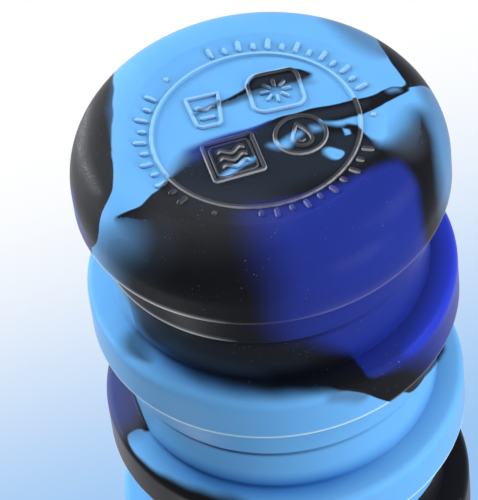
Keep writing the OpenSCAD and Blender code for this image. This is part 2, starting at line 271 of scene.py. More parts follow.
BASE_SKY = [
    [(26.9, 23.5, .25), (26.7, 17, .25), (26.8, 11.5, .25), (27.3, 4.6, .25), (27.7, -1.5, .25),
     (24, -2, 1), (21, 4, 1), (20, 12, 1), (21.5, 20, 1), (24, 24, 1)],
    [(-12.3, .1, .8), (-16, -.3, .5), (-19.8, .3, .3), (-19.8, -1.8, .3), (-17.7, -1.2, .5),
     (-16, -1.5, .8), (-14.3, -.8, .9)],
    [(-16.4, -2.4, .3), (-17.6, -2.8, .3), (-17.7, -4, .3), (-16.6, -4.3, .3)],
    [(-12.3, -7.2, .7), (-13.6, -6.8, .4), (-15.9, -7.9, .25), (-16, -9, .2), (-14.9, -10, .25),
     (-13.7, -9.8, .5), (-12.4, -8.3, .9)],
    [(-2, -4.5, 1.2), (-4.2, -3.7, 1), (-6.6, -2.3, .9), (-8.5, -1.8, .9), (-8.7, -2.7, .8), (-7.4, -4, .7),
     (-5.6, -5.6, .9), (-4.2, -5.7, 1.2)],
    [(-10.4, -.8, 1.1), (-12.2, -1, 1.1), (-12.4, -1.8, 1.1), (-10.8, -2, 1.1)],
    [(-26.4, 5.3, 1.4), (-27.8, 5.7, 1.4), (-27.9, 5.4, 1.4), (-26.6, 5.1, 1.4)],
    [(7.6, -10.8, .8), (5.4, -9.2, .6), (3.4, -8.1, .5), (1.8, -7.1, .6), (.8, -7.2, .7), (1.2, -8, .6),
     (3, -9, .5), (4.4, -10.2, .6), (6.2, -11.6, .8)],
]
BASE_SMOKE = [(-31, -3, 2), (-28.5, -6, 2), (-25.5, -9, 2), (-25.5, -11, 2), (-28, -12, 2),
              (-30.4, -10.5, 2), (-31.8, -7, 2)]
BASE_HAZE = [
    [(-16, 29, 2.4), (-17.8, 23.5, 2.6), (-20.5, 19, 2.8), (-24.3, 15.5, 2.6), (-27, 15.6, .6),
     (-25.8, 24, .5), (-20.5, 28.5, 1)],
    [(8, 7, .6), (6, 7.8, .5), (3, 8.9, .5), (-2, 10, .6), (-9, 10.5, 1), (-12, 10.8, 1.4),
     (-8, 10, 1), (0, 8.5, 1), (5, 7.1, .8)],
    [(-33.5, 9, 1.5), (-33, 2, 2), (-33.5, -6, 2), (-35, -14, 2), (-38, -20, 2), (-52, -20, 2),
     (-52, 10, 2)],
    [(17, -8.4, 1.4), (15.4, -5.2, 1.5), (12.6, -3.2, 1.5), (7, -2, 1.4), (0, .2, 1), (-8, 2.2, .8),
     (-16, 3.4, .8), (-22, 4, .8), (-20, 1.6, .8), (-13, .4, .8), (-13.5, -3, 1), (-18.5, -4.4, 1),
     (-22, -9, 1.5), (-18, -12, 2), (-9, -15, 3), (-2, -18, 4), (8, -19, 4), (16, -15.5, 2.4),
     (17.4, -11.5, 1)],
    [(-1, 13.6, .5), (-9, 14.2, .5), (-11.4, 12.6, .8), (-8, 11.6, .8), (0, 11.2, .6)],
    BASE_SMOKE,
    [(37, -20, 4), (31, -18.5, 3), (26, -19.5, 2.5), (20, -22, 4), (20, -28, 5), (27, -32, 5),
     (36, -30, 5), (40, -25, 5)],
]
# Dust and painted sheen: a pale film that paints a sheen, with specks of dust where it is fullest; how much
# lies there, and where
BASE_DUST_AND_SHEEN = [
    (0.35, [(26, 24, 1), (26, 12, 1), (27, 0, 1), (28, -12, 1), (34, -18, 2), (42, -16, 3),
            (44, 4, 3), (40, 20, 3), (32, 28, 2)]),
    (0.25, [(22, -10, 3), (10, -16, 4), (0, -18, 4), (-4, -22, 4), (4, -28, 5), (14, -28, 5),
            (22, -26, 4)]),
    (0.36, BASE_SMOKE),
    (1.0, [(34, 15, 2), (36.5, 9, 2), (36.8, 2, 2), (35, -5, 2), (33, -10.4, 2), (30.4, -11.5, 1.5),
           (31.4, -6, 2), (32.6, 0, 2), (32.2, 7, 2), (31.4, 14, 1.5)]),
]
MARBLING = {
    "base": {"black": BASE_BLACK, "royal": BASE_ROYAL, "sky": BASE_SKY, "haze": BASE_HAZE},
    "skirt_1": {
        "black": [[(-72, -3, 6), (-72, 13, 1), (95, 13, 1), (95, -3, 1)]],
        "royal": [[(-6, -3, 7), (-1, 5, 6.5), (4, 13, 6), (105, 13, 1), (105, -3, 1)]],
    },
    "ring_1": {
        "black": [
            [(-60, -3, 5), (-60, 5, 4), (-57, 9.5, 2.4), (-46, 11.5, 2.6), (-32, 13.6, 3),
             (-20, 14.5, 3), (-8, 15.3, 2.4), (4, 15.8, 2), (11, 16.4, 1.6), (14.5, 17, 1),
             (16.6, 17.4, .3), (19, 18, .2), (23.2, 19.9, .2), (27.2, 23, .15), (30, 25.3, .15),
             (33, 27.8, .15), (35, 29.5, .2), (60, 31, 3), (64, 20, 3), (60, 12, 2), (90, 8, 2),
             (90, -3, 1), (0, -4, .5)],
            [(-61.5, 13, 3), (-61.5, 15.2, 3), (-59.6, 16.5, 2.2), (-57, 16.9, 1.4), (-54, 16.4, .9),
             (-51, 15.8, .8), (-49, 15.4, .9), (-48, 14.9, 1.4), (-51, 14, 2), (-56, 12.9, 3)],
        ],
        "royal": [
            [(6, -3, 5), (10, 1, 4.5), (15, 5, 3.5), (20.5, 8.3, 2.4), (24, 10.8, 1.2),
             (25.4, 12.8, .5), (26, 15, .4), (26.4, 17, .5), (31, 17.9, 1.2), (37, 18.6, 2.4),
             (44, 21, 4), (50, 25, 5), (56, 31, 5), (110, 31, 2), (110, -3, 2)],
        ],
        "sky": [[(-62, 17.6, 8), (-45, 17.6, 8), (-24, 18.4, 7), (-16, 20, 4), (-16, 24, 3),
                 (-62, 24, 3)]],
        "haze": [[(-62, -3, .4), (-61.8, 6, .4), (-61, 13, .5), (-44, 13, 3), (-44, -3, 3)],
                 [(-58, 6, 2), (-40, 7.5, 2.5), (-10, 9, 2.5), (-8, 13, 2), (-40, 13, 2),
                  (-58, 12.5, 2)],
                 [(14, 17, .8), (19, 17.6, .6), (25, 21, .6), (23, 22.4, 1.6), (17, 20.4, 1.6),
                  (12, 18.4, 1.6)]],
    },
    "skirt_2": {
        "black": [[(36, -2, .4), (40, 3, .4), (43, 5.6, .3), (45.6, 7.3, .3), (48, 8.5, .3),
                   (52, 9.4, .3), (57, 10.4, .4), (92, 12, 1), (92, -2, 1)]],
    },
    "ring_2": {
        "black": [
            [(-112, 3, .8), (-80, 4, .6), (-71, 6.3, .5), (-68, 9, .4), (-65, 12.2, .4),
             (-68.2, 13.2, .3), (-69, 14.8, .3), (-68.2, 16.6, .3), (-62, 17.1, .4), (-55, 17, .6),
             (-49.6, 16.6, .8), (-40, 15.9, 1.1), (-30, 15.4, 1.4), (-22, 15.2, 1.6),
             (-16, 16.4, 1.6), (-20, 20, .8), (-30, 24, .6), (-37, 30, .6), (-112, 30, .8)],
            [(55, -3, .4), (57, 0, .4), (61, 2.2, .4), (66, 4, .4), (70.4, 5.7, .4), (75, 8, .4),
             (80, 10.6, .4), (84.4, 12.8, .6), (92, 12.8, .8), (92, -3, .6)],
        ],
        "royal": [[(-112, 11, 8), (-84, 12, 8), (-77, 13, 6), (-75, 16, 5), (-77, 19, 6),
                   (-82, 23, 8), (-112, 24, 8)]],
        # On ring 2's far left this haze, with the dust film below, paints a sheen on the royal blue
        "haze": [[(-112, 6, 4), (-76, 8, 3), (-66, 14, 3), (-72, 22, 4), (-112, 26, 4)]],
    },
    "skirt_3": {"black": [[(-76, -3, .8), (-70, 13, .8), (-38, 13, .8), (-32, -3, .8)],
                          [(66, -3, .6), (62, 13, .6), (104, 13, .6), (100, -3, .6)]]},
    "ring_3": {
        "black": [
            [(34, -3, .6), (104, -3, .6), (106, 8, .6), (108, 16, .6), (108, 22, .6), (98, 30, 1),
             (40, 30, 1), (22, 25, 1), (26, 14, 1), (30, 4, .8)],
        ],
        "royal": [[(-30, 8, 2), (-8, 10, 2), (6, 20, 2), (4, 30, 2), (-38, 30, 2), (-40, 16, 2)]],
    },
}
DUST_AND_SHEEN = {
    "base": BASE_DUST_AND_SHEEN,
    "ring_2": [(0.55, [(-112, 8, 3), (-76, 9, 2), (-68, 13, 1.5), (-70, 20, 2), (-112, 24, 3)])],
}
# Painted light on the royal blue: how strong, and where
PAINTED_LIGHT = {
    "ring_1": [(0.85, [(42, 17, 2), (54, 15.8, 2.4), (74, 14.9, 2.4), (112, 14.7, 2.4),
                       (112, 20, 2.4), (74, 19.8, 2.4), (56, 18.7, 2), (44, 18.2, 1.6)])],
}
LAYERS = ("black", "royal", "sky", "haze")
FAR_MM = 12.0
WOBBLE_MM = 0.09
# Marbling of the unseen sides: lobes' depth for a swirl of 1, and the swirl at each colour's edge
LOBE_MM = 22
BLACK_FROM, ROYAL_FROM, HAZE_AT = 0.17, 0.16, 0.11
# Degrees from the front up to which the patches hold, and from which they don't
SEEN_TO, UNSEEN_FROM = 90, 112


def smooth_outline(points, steps=5):
    """A closed curve through the points, with each stretch keeping its softness."""
    p = np.array(points, float)
    if len(p) < 6:
        return p
    curve = []
    for i in range(len(p)):
        a, b, c, d = p[i - 1], p[i], p[(i + 1) % len(p)], p[(i + 2) % len(p)]
        for j in range(steps):
            t = j / steps
            spot = 0.5 * (2 * b + (c - a) * t + (2 * a - 5 * b + 4 * c - d) * t * t
                          + (3 * b - a - 3 * c + d) * t ** 3)
            curve.append((spot[0], spot[1], b[2] + (c[2] - b[2]) * t))
    return np.array(curve)


def patch_field(spots, outline):
    """How deep each spot lies inside an outline, and the softness of the edge nearest to it."""
    nearest = np.full(len(spots), 1e9)
    soft = np.ones(len(spots))
    inside = np.zeros(len(spots), bool)
    for a, b in zip(outline, np.roll(outline, -1, axis=0)):
        along = b[:2] - a[:2]
        t = np.clip((spots - a[:2]) @ along / max(along @ along, 1e-9), 0, 1)
        gap = np.linalg.norm(spots - a[:2] - t[:, None] * along, axis=1)
        closer = gap < nearest
        soft = np.where(closer, a[2] + (b[2] - a[2]) * t, soft)
        nearest = np.minimum(nearest, gap)
        if abs(along[1]) > 1e-9:
            crosses = (a[1] > spots[:, 1]) != (b[1] > spots[:, 1])
            left = spots[:, 0] < a[0] + (spots[:, 1] - a[1]) * along[0] / along[1]
            inside ^= crosses & left
    return np.clip(np.where(inside, nearest, -nearest), -FAR_MM, FAR_MM), soft


def wobble(spots):
    """Shifts flat spots a little, so that no colour edge is ruled."""
    x, y = spots[:, 0], spots[:, 1]
    dx = np.sin(0.9 * y + 1.3 * np.sin(0.5 * x))
    dy = np.sin(0.8 * x + 1.7 * np.sin(0.6 * y))
    return spots + WOBBLE_MM * np.stack([dx, dy], 1)


# The swirl's shifts are drawn once, from a fixed seed, so that every run marbles alike
SWIRL_SEED = 7
noise.seed_set(SWIRL_SEED)


def swirl(points, shift, size):
    """A smooth swirling value at each point, about -1 to 1."""
    values = np.empty(len(points))
    for i, p in enumerate(points):
        q = Vector(p) / size + Vector(shift)
        q += 0.7 * noise.noise_vector(q * 0.8)
        values[i] = noise.noise(q)
    return values


def unseen_fields(points):
    """Marbling for the sides that no picture shows: big lobes with edges from sharp to soft.
    Gives each layer's depth, in millimetres, and the softness of its edges."""
    stretched = points * np.array([1.0, 1.0, 1.5])
    soft = np.clip(0.9 - 2.6 * swirl(stretched, (5, 1, 9), 34.0), 0.2, 2.4)
    lobes = swirl(stretched, (1.7, 4.2, 0.3), 30.0)
    blues = swirl(stretched, (8.1, 2.6, 6.4), 34.0)
    return {
        "black": ((lobes - BLACK_FROM) * LOBE_MM, soft),
        "royal": ((blues - ROYAL_FROM) * LOBE_MM, soft),
        "sky": (np.full(len(points), -FAR_MM), soft),
        "haze": (1.6 - np.abs(lobes - HAZE_AT) * LOBE_MM, soft + 2),
    }


def share_field(spots, patches):
    """How far the patches, each with its share, lie over each spot."""
    field = np.zeros(len(spots))
    for share, outline in patches:
        depth, soft = patch_field(spots, smooth_outline(outline))
        field = np.maximum(field, share * np.clip(0.5 + 0.5 * depth / soft, 0, 1))
    return field


def rolled_flat(outline):
    """An outline of angles and lengths, with the angles in millimetres."""
    return [(angle * FRONT_MM, length, soft) for angle, length, soft in outline]


def points_of(mesh):
    """The mesh's points, in metres."""
    points = np.empty(len(mesh.vertices) * 3)
    mesh.vertices.foreach_get("co", points)
    return points.reshape(-1, 3)


def ramp(value, start, end, least=0.0):
    """0 where value is at start, rising to 1 where it is at end, and never under least."""
    return np.clip((value - start) / (end - start), least, 1)


def add_values(mesh, name, values):
    attribute = mesh.attributes.new(name, "FLOAT", "POINT")
    attribute.data.foreach_set("value", np.asarray(values, np.float32))


def marble(piece, spots, patches, seen, edge, mark=None, shine=None):
    """Writes the marbling of a piece: at each point a depth and a softness for each layer, how
    far the point takes a lip's painted highlight (up to 1) or painted shade (down to -1), how far
    it takes the painted highlight on a raised mark's flank, and how far a painted glint.
    Spots are flat places in millimetres, and seen says where the patches hold (1) or not (0)."""
    mesh = piece.data
    rest = unseen_fields(points_of(mesh) / MM)
    moved = wobble(spots)
    for layer in LAYERS:
        depth = np.full(len(spots), -FAR_MM)
        soft = np.ones(len(spots))
        for outline in patches.get(layer, []):
            deeper, edge_soft = patch_field(moved, smooth_outline(outline))
            soft = np.where(deeper > depth, edge_soft, soft)
            depth = np.maximum(depth, deeper)
        far, far_soft = rest[layer]
        add_values(mesh, layer, depth * seen + np.clip(far, -FAR_MM, FAR_MM) * (1 - seen))
        add_values(mesh, layer + "_soft", soft * seen + far_soft * (1 - seen))
    for name, values in (("edge", edge), ("mark", mark), ("shine", shine)):
        if values is not None:
            add_values(mesh, name, values)


def near(line, spot, reach):
    """For each point of a line, 1 at a spot and less with the distance, down to 0 at its reach."""
    gap = np.linalg.norm(np.array(line, float)[:, :2] - np.array(spot, float), axis=1)
    return np.clip(1 - gap / reach, 0, 1)


def front_angle(x, y):
    """Degrees round from the front, -Y, positive towards -X."""
    return np.degrees(np.arctan2(-x, -y))


def painted_glint(angle):
    """How far a lip carries a painted glint at an angle from the front: most on the left."""
    return ramp(angle, -78, -62) * ramp(angle, -14, -30)


def marble_stage(piece, name, row, along, outside_rows, edge_rows, crease_rows, shine_rows=None):
    """Marbles a ring, a fold wall or the shoulder by angle and length up its outside."""
    mesh = piece.data
    points = points_of(mesh)
    angle = front_angle(points[:, 0], points[:, 1])
    spots = np.stack([angle * FRONT_MM, along[np.minimum(row, len(along) - 1)]], 1)
    patches = {}
    for layer, outlines in MARBLING.get(name, {}).items():
        patches[layer] = [rolled_flat(outline) for outline in outlines]
    seen = ramp(np.abs(angle), UNSEEN_FROM, SEEN_TO)
    seen = seen * seen * (3 - 2 * seen)
    if not patches:
        seen = np.zeros(len(points))
    seen = np.where(row < outside_rows, seen, 0)
    # Edge holds a lip's painted highlight above 0 and painted shade under 0; crease holds the painted dark
    # lines
    edge = edge_rows[row]
    # Shade and lines fade towards both sides, between these degrees from the front
    shadow = ramp(angle, -75, -35, 0.1) * ramp(angle, 70, 10, 0.5)
    edge = np.where(edge < 0, edge * shadow, edge)
    lined = ramp(angle, 50, -30, 0.15) * ramp(angle, -80, -50, 0.1)
    add_values(mesh, "crease", crease_rows[row] * lined)
    # A painted glint on the left of lips
    shine = None if shine_rows is None else shine_rows[row] * painted_glint(angle)
    marble(piece, spots, patches, seen, np.clip(edge, -1, 1), shine=shine)
    # The film of painted sheen with dust in it, and painted light on the royal blue
    for layer, places in (("dust_and_sheen", DUST_AND_SHEEN), ("painted_light", PAINTED_LIGHT)):
        rows = [(share, rolled_flat(outline)) for share, outline in places.get(name, [])]
        if rows:
            add_values(mesh, layer, share_field(spots, rows) * (row < outside_rows))


# Silicone pieces
def dish_z(r):
    """Height of the base's face at radius r: nearly flat, rolling down to the foot ring."""
    return DISH * (1 - (r / DISH_R) ** DISH_POWER)


def lip_corners(r, z):
    """The lip that ends the base or a ring, and the start of the wall inside it."""
    inner = r - WALL
    return [(r, z, LIP_ROUND), (LIP_IN_R, z, 0.25), (LIP_IN_R, z - LIP_DEPTH, 0.3),
            (inner, z - LIP_DEPTH - (inner - LIP_IN_R), 0.6)]


def make_base():
    bead = MARK_W / 2
    radii = np.linspace(0, DISH_R, 40)
    radii = np.union1d(radii, MARK_R + bead * np.linspace(-1.2, 1.2, 13))
    face = [(r, dish_z(r)) for r in radii]
    edge = [(FOOT_R + BASE_EDGE * math.sin(a), BASE_EDGE * (1 - math.cos(a)))
            for a in np.linspace(0, math.pi / 2, 26)]
    side = rounded([edge[-1]] + lip_corners(BASE_R, LIP_Z[0]) + [(BASE_R - WALL, BASE_EDGE + 1)])
    outside = spaced(face + edge + side[1:8], FINE_STEP)
    inner_edge = BASE_EDGE - WALL
    turn = [(FOOT_R + inner_edge * math.cos(a), FLOOR_IN + inner_edge * (1 + math.sin(a)))
            for a in np.linspace(0, -math.pi / 2, 12)]
    inside = spaced(side[7:] + turn + [(0, FLOOR_IN)], COARSE_STEP)
    flat = outside + inside[1:]
    along = lengths(flat)
    line = []
    for r, z in flat[:len(outside)]:
        across = abs(r - MARK_R) / bead
        rise = MARK_H * rib_rise(across) if across < 1 and r < DISH_R else 0
        line.append((r, z - rise))
    line += flat[len(outside):]
    piece, row, angle = turned("base_cup_silicone", line)
    spots = np.stack([along[row] * np.cos(angle), along[row] * np.sin(angle)], 1)
    lip = (BASE_R, LIP_Z[0] - LIP_SHINE)
    across = (np.array(line)[:, 0] - MARK_R) / bead
    outer = (across > 0.5) & (across < 0.9)
    inner = (across > -0.9) & (across < -0.5)
    shown = np.arange(len(line)) < len(outside)
    # Painted highlight on the bead: strong on its outer flank, weak on its inner flank, and on its top
    mark_rows = (CIRCLE_HIGHLIGHT[0] * outer + CIRCLE_HIGHLIGHT[1] * inner) * shown
    top_rows = MARK_TOP_HIGHLIGHT * (np.abs(across) <= 0.5) * shown
    angle = front_angle(spots[:, 0], spots[:, 1])
    # Painted glint on the lip's left
    shine = near(line, lip, LIP_GLINT_MM)[row] * painted_glint(angle)
    # Painted highlight along the lip, weaker towards -X
    edge = near(line, lip, LIP_HIGHLIGHT_MM)[row] * ramp(angle, 20, -30, 0.35)
    # A wide painted sheen near the lip, towards -X
    painted_sheen = 0.3 * near(line, lip, LIP_SHEEN_MM)[row] ** 2
    edge += painted_sheen * ramp(angle, 0, 15) * ramp(angle, 80, 60)
    marble(piece, spots, MARBLING["base"], np.where(row < len(outside), 1.0, 0.0),
           np.clip(edge + top_rows[row], 0, 1), mark_rows[row], shine)
    add_values(piece.data, "dust_and_sheen", share_field(spots, DUST_AND_SHEEN["base"]) * (row < len(outside)))
    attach(piece, "base")
    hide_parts("base_cup")
    return piece


def step_corners():
    """Outside of a neck, its shelf and the edge of the ring above it."""
    return [(NECK_R, 0.35), (CREASE_R, NECK_H, 0.3),
            (RING_R, NECK_H + SHELF_RISE * 1.3, BAND_EDGE)]


def step_inside():
    return [(RING_R - WALL, NECK_H + SHELF_RISE + WALL, 1.0),
            (CREASE_R - WALL, NECK_H + WALL - 0.6, 0.8),
            (NECK_R - WALL, 0)]


def step_edges(line, top):
    """Painted highlight on a stage's lip, painted shade on its shelf, and the painted dark lines in its two
    creases.
    """
    crease = (CREASE_R, NECK_H)
    lip = near(line, (RING_R, top - LIP_SHINE), LIP_HIGHLIGHT_MM)
    shade = near(line, crease, SHELF_SHADE) ** 1.2
    foot = np.clip(2.5 * near(line, (NECK_R, 0.9), FOOT_LINE), 0, 1)
    return lip - shade, np.maximum(foot, 0.75 * near(line, crease, CREASE_LINE))


def make_stage(name, low, corners, outside_corners, body, node, lip_top):
    """A ring or the shoulder: one closed turned shell that starts at its neck's lower edge."""
    count = len(rounded(corners[:outside_corners + 1])) - 1
    line = rounded(corners)
    outside = spaced(line[:count], FINE_STEP)
    inside = spaced(line[count - 1:], COARSE_STEP)
    whole = outside + inside[1:]
    piece, row, _ = turned(name, [(r, z + low) for r, z in whole])
    edges, creases = step_edges(whole, lip_top)
    marble_stage(piece, node, row, lengths(whole), len(outside), edges, creases)
    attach(piece, body)
    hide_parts(node)
    return piece


def make_ring(k, body):
    height = LIP_Z[k] - NECK_Z[k - 1]
    corners = step_corners() + lip_corners(RING_R, height) + step_inside()
    return make_stage(f"ring_{k}_silicone", NECK_Z[k - 1], corners, 5, body, f"ring_{k}", height)


def make_shoulder():
    low = NECK_Z[3]
    top = NECK_H + SHOULDER_H
    mouth_out = MOUTH_R + WALL
    mouth_top = MOUTH_TOP - low
    corners = step_corners() + [
        (RING_R, top, SHOULDER_ROUND), (mouth_out, top, 0.25),
        (mouth_out, mouth_top, 0.3), (MOUTH_R, mouth_top, 0.3), (MOUTH_R, top - WALL, 0.3),
        (RING_R - WALL, top - WALL, SHOULDER_ROUND - WALL)] + step_inside()
    return make_stage("shoulder_silicone", low, corners, 6, "neck", "shoulder", top + 9)


def make_skirt(k):
    """A thin fold wall from a lip up to the neck above it: its foot keeps inside the lip's bore."""
    slim = LIP_IN_R - 0.15
    middle = SKIRT_H * FOLD_MID
    corners = [(LIP_IN_R, 0), (SKIRT_R, 0), (SKIRT_R - 0.25, 0.5, 0.5), (slim, middle, 2.0),
               (SKIRT_TOP_R, SKIRT_H - 0.9, 3.0), (SKIRT_TOP_R, SKIRT_H, 0.45),
               (NECK_R - WALL, SKIRT_H), (NECK_R - WALL, SKIRT_H - WEB),
               (SKIRT_TOP_R - WEB, SKIRT_H - WEB, 0.5), (slim - WEB, middle, 2.0)]
    line = rounded(corners + [corners[0]])[:-1]
    whole = spaced(line + [line[0]], FINE_STEP)[:-1]
    low = LIP_Z[k - 1]
    piece, row, _ = turned(f"fold_wall_{k}", [(r, z + low) for r, z in whole])
    heights = np.array([z for r, z in whole])
    # Painted shade on the wall's foot, next to the lip it starts from
    shade = -0.3 * near(whole, (SKIRT_R, 0.3), 5.0)
    bare = np.zeros(len(whole))
    # Painted glint along the first wall's upper edge, on its left
    shine = near(whole, (SKIRT_TOP_R, SKIRT_H - LIP_SHINE), 0.7) if k == 1 else None
    marble_stage(piece, f"skirt_{k}", row, heights, len(whole), shade, bare, shine)
    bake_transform(piece)
    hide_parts(f"fold_skirt_{k}")
    return piece


# Raised marks on the base: a plain scale of ticks, dots and simple signs
TICK_IN = 21.0
TICK_LONG = 2.7
TICK_SHORT = 1.8
TICK_W = 1.3
RIB_W = 0.95
RIB_H = 0.58
RIB_SINK = 0.15
RIB_STEP = 0.22
RIB_ACROSS = (-1, -0.8, -0.6, -0.42, 0.42, 0.6, 0.8, 1)
SCALE_ARCS = [(71, 160, 12), (29, -47, 10), (203, 272, 9)]
DOT_TURNS = (44, 180, 295)
DOT_R = 22.6


def rib_rise(across):
    """Share of a rib's height at a place across it, -1 to 1: a flat top and steep rounded sides."""
    t = min(1.0, (1 - abs(across)) / 0.58)
    return t * t * (3 - 2 * t)


class Ribs:
    """Collects raised ribs and dots into one mesh on the base's face."""

    def __init__(self):
        self.points = []
        self.faces = []
        self.mark = []
        self.top = []

    def add(self, point, mark, top):
        self.points.append(point)
        self.mark.append(mark)
        self.top.append(top)

    def rib(self, path, width=RIB_W, height=RIB_H, closed=False):
        """A low rounded rib along flat points."""
        line = spaced(list(path) + ([path[0]] if closed else []), RIB_STEP)
        line = np.array(line[:-1] if closed else line)
        ahead = np.roll(line, -1, 0) if closed else np.vstack([line[1:], line[-1:]])
        back = np.roll(line, 1, 0) if closed else np.vstack([line[:1], line[:-1]])
        way = ahead - back
        way /= np.linalg.norm(way, axis=1)[:, None]
        side = np.stack([-way[:, 1], way[:, 0]], 1)
        gone = lengths([tuple(p) for p in line])
        end = np.minimum(gone, gone[-1] - gone) / (width / 2)
        full = np.sqrt(np.clip(1 - (1 - np.clip(end, 0.02, 1)) ** 2, 0, 1))
        if closed:
            full = np.ones(len(line))
        first = len(self.points)
        for p, s, f in zip(line, side, full):
            for u in RIB_ACROSS:
                x, y = p + s * u * f * width / 2
                z = dish_z(np.hypot(x, y))
                rise = min(height * rib_rise(u) * f, max(z - 0.01, 0))
                # Painted highlight on the flanks, more on the side where u > 0, and painted shade at the
                # feet that face -Y
                mark = SIGN_HIGHLIGHT[0 if u > 0 else 1] if 0.5 < abs(u) < 0.9 else 0
                shade = FOOT_SHADE * min(0, np.sign(u) * s[1]) if abs(u) > 0.7 else 0
                top = MARK_TOP_HIGHLIGHT if abs(u) < 0.5 else shade
                self.add((x, y, z - rise if abs(u) < 1 else z + 0.02), mark, top)
            for u in (1, -1):
                x, y = p + s * u * f * width / 2
                self.add((x, y, dish_z(np.hypot(x, y)) + RIB_SINK), 0, 0)
        n = len(RIB_ACROSS) + 2
        self.faces += tube_faces(len(line), n, first, closed)
        if not closed:
            last = len(self.points) - n
            self.faces.append(tuple(range(first + n - 1, first - 1, -1)))
            self.faces.append(tuple(range(last, last + n)))

    def dot(self, x, y, radius=0.6, height=0.4):
        """A small dome."""
        first = len(self.points)
        steps, rows = 20, 5
        z = dish_z(np.hypot(x, y))
        for i in range(rows):
            a = math.pi / 2 * i / rows
            for j in range(steps):
                t = 2 * math.pi * j / steps
                r = radius * math.cos(a)
                rise = min(height * math.sin(a), max(z - 0.03, 0)) if i else -RIB_SINK
                # The dome takes a painted highlight all over
                self.add((x + r * math.cos(t), y + r * math.sin(t), z - rise), DOT_HIGHLIGHT, MARK_TOP_HIGHLIGHT)
        self.add((x, y, z - min(height, z - 0.03)), DOT_HIGHLIGHT, MARK_TOP_HIGHLIGHT)
        self.faces += tube_faces(rows, steps, first, outward=False)
        ring = first + (rows - 1) * steps
        for j in range(steps):
            self.faces.append((ring + j, ring + steps, ring + (j + 1) % steps))
        self.faces.append(tuple(first + j for j in range(steps)))


def placed(points, centre, turn_deg):
    """Flat points of a sign, turned and set in place on the base. Signs are drawn as seen from
    below, so their own x runs towards -X."""
    c, s = math.cos(math.radians(turn_deg)), math.sin(math.radians(turn_deg))
    return [(centre[0] - (x * c - y * s), centre[1] + x * s + y * c) for x, y in points]


def ring_points(radius, count=48, centre=(0, 0)):
    return [(centre[0] + radius * math.cos(2 * math.pi * i / count),
             centre[1] + radius * math.sin(2 * math.pi * i / count)) for i in range(count)]


def box_points(half, corner, steps=6):
    """A square with rounded corners."""
    points = []
    for i, (sx, sy) in enumerate(((1, 1), (-1, 1), (-1, -1), (1, -1))):
        for j in range(steps + 1):
            a = math.radians(90 * i + 90 * j / steps)
            points.append((sx * (half - corner) + corner * math.cos(a),
                           sy * (half - corner) + corner * math.sin(a)))
    return points


def wave_points(half, level, rise=0.5, steps=24):
    return [(-half + 2 * half * i / steps, level + rise * math.sin(3 * math.pi * i / steps))
            for i in range(steps + 1)]


def drop_points(size, steps=40):
    """A water drop, point up."""
    points = []
    for i in range(steps):
        a = 2 * math.pi * i / steps
        points.append((size * math.sin(a) * math.sin(a / 2) ** 1.4, size * 1.15 * math.cos(a)))
    return points


def make_marks():
    ribs = Ribs()
    for start, end, ticks in SCALE_ARCS:
        for i in range(ticks + 1):
            a = math.radians(start + (end - start) * i / ticks)
            size = TICK_SHORT if i % 2 else TICK_LONG
            ribs.rib([(r * math.cos(a), r * math.sin(a)) for r in (TICK_IN, TICK_IN + size)], TICK_W)
    for turn in DOT_TURNS:
        a = math.radians(turn)
        ribs.dot(DOT_R * math.cos(a), DOT_R * math.sin(a))
    # A tumbler with a level line
    cup = (9.2, 6.2)
    ribs.rib(placed([(-3.2, 4), (-2.3, -3.4), (-1.6, -4), (1.6, -4), (2.3, -3.4), (3.2, 4)], cup, 8))
    ribs.rib(placed([(-3.6, 4), (3.6, 4)], cup, 8))
    ribs.rib(placed(wave_points(2.1, 0.8, 0.35), cup, 8))
    ribs.rib(placed([(-1.6, -1.8), (1.6, -1.8)], cup, 8))
    # A framed star of plain spokes
    star = (-4.6, 9.6)
    ribs.rib(placed(box_points(5, 2.2), star, 8), closed=True)
    for i in range(8):
        a = math.radians(45 * i)
        ribs.rib(placed([(r * math.cos(a), r * math.sin(a)) for r in (1.1, 3.2)], star, 8))
    # A drop in a ring
    ring = (-8.3, -2.7)
    ribs.rib(placed(ring_points(4.9), ring, 0), closed=True)
    ribs.rib(placed(drop_points(2.6), ring, 12), closed=True)
    ribs.rib(placed([(-.9, -1.5), (-.2, -1.8), (.6, -1.5)], ring, 12), 0.5)
    # A framed set of waves
    frame_at = (4.9, -6.6)
    ribs.rib(placed(box_points(4.9, 0.5), frame_at, 12), closed=True)
    ribs.rib(placed(box_points(3.9, 1), frame_at, 12), 0.5, 0.25, closed=True)
    for level in (-1.9, 0, 1.9):
        ribs.rib(placed(wave_points(2.9, level, 0.55), frame_at, 12))
    piece = new_piece("base_marks", ribs.points, ribs.faces)
    spots = np.array(ribs.points)[:, :2]
    marble(piece, spots, MARBLING["base"], np.ones(len(spots)), np.array(ribs.top), np.array(ribs.mark))
    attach(piece, "base")
    return piece


# Shader parts that several finishes share
def link(tree, source, target):
    tree.links.new(source, target)


def node_of(tree, kind, **values):
    node = tree.nodes.new(kind)
    for key, value in values.items():
        setattr(node, key, value)
    return node


def new_group(name, inputs, outputs):
    """A shader node group with float inputs (name, default) and outputs (name, kind)."""
    group = bpy.data.node_groups.new(name, "ShaderNodeTree")
    for label, value in inputs:
        socket = group.interface.new_socket(label, in_out="INPUT", socket_type="NodeSocketFloat")
        socket.default_value = value
    for label, kind in outputs:
        group.interface.new_socket(label, in_out="OUTPUT", socket_type=kind)
    return group, group.nodes.new("NodeGroupInput"), group.nodes.new("NodeGroupOutput")


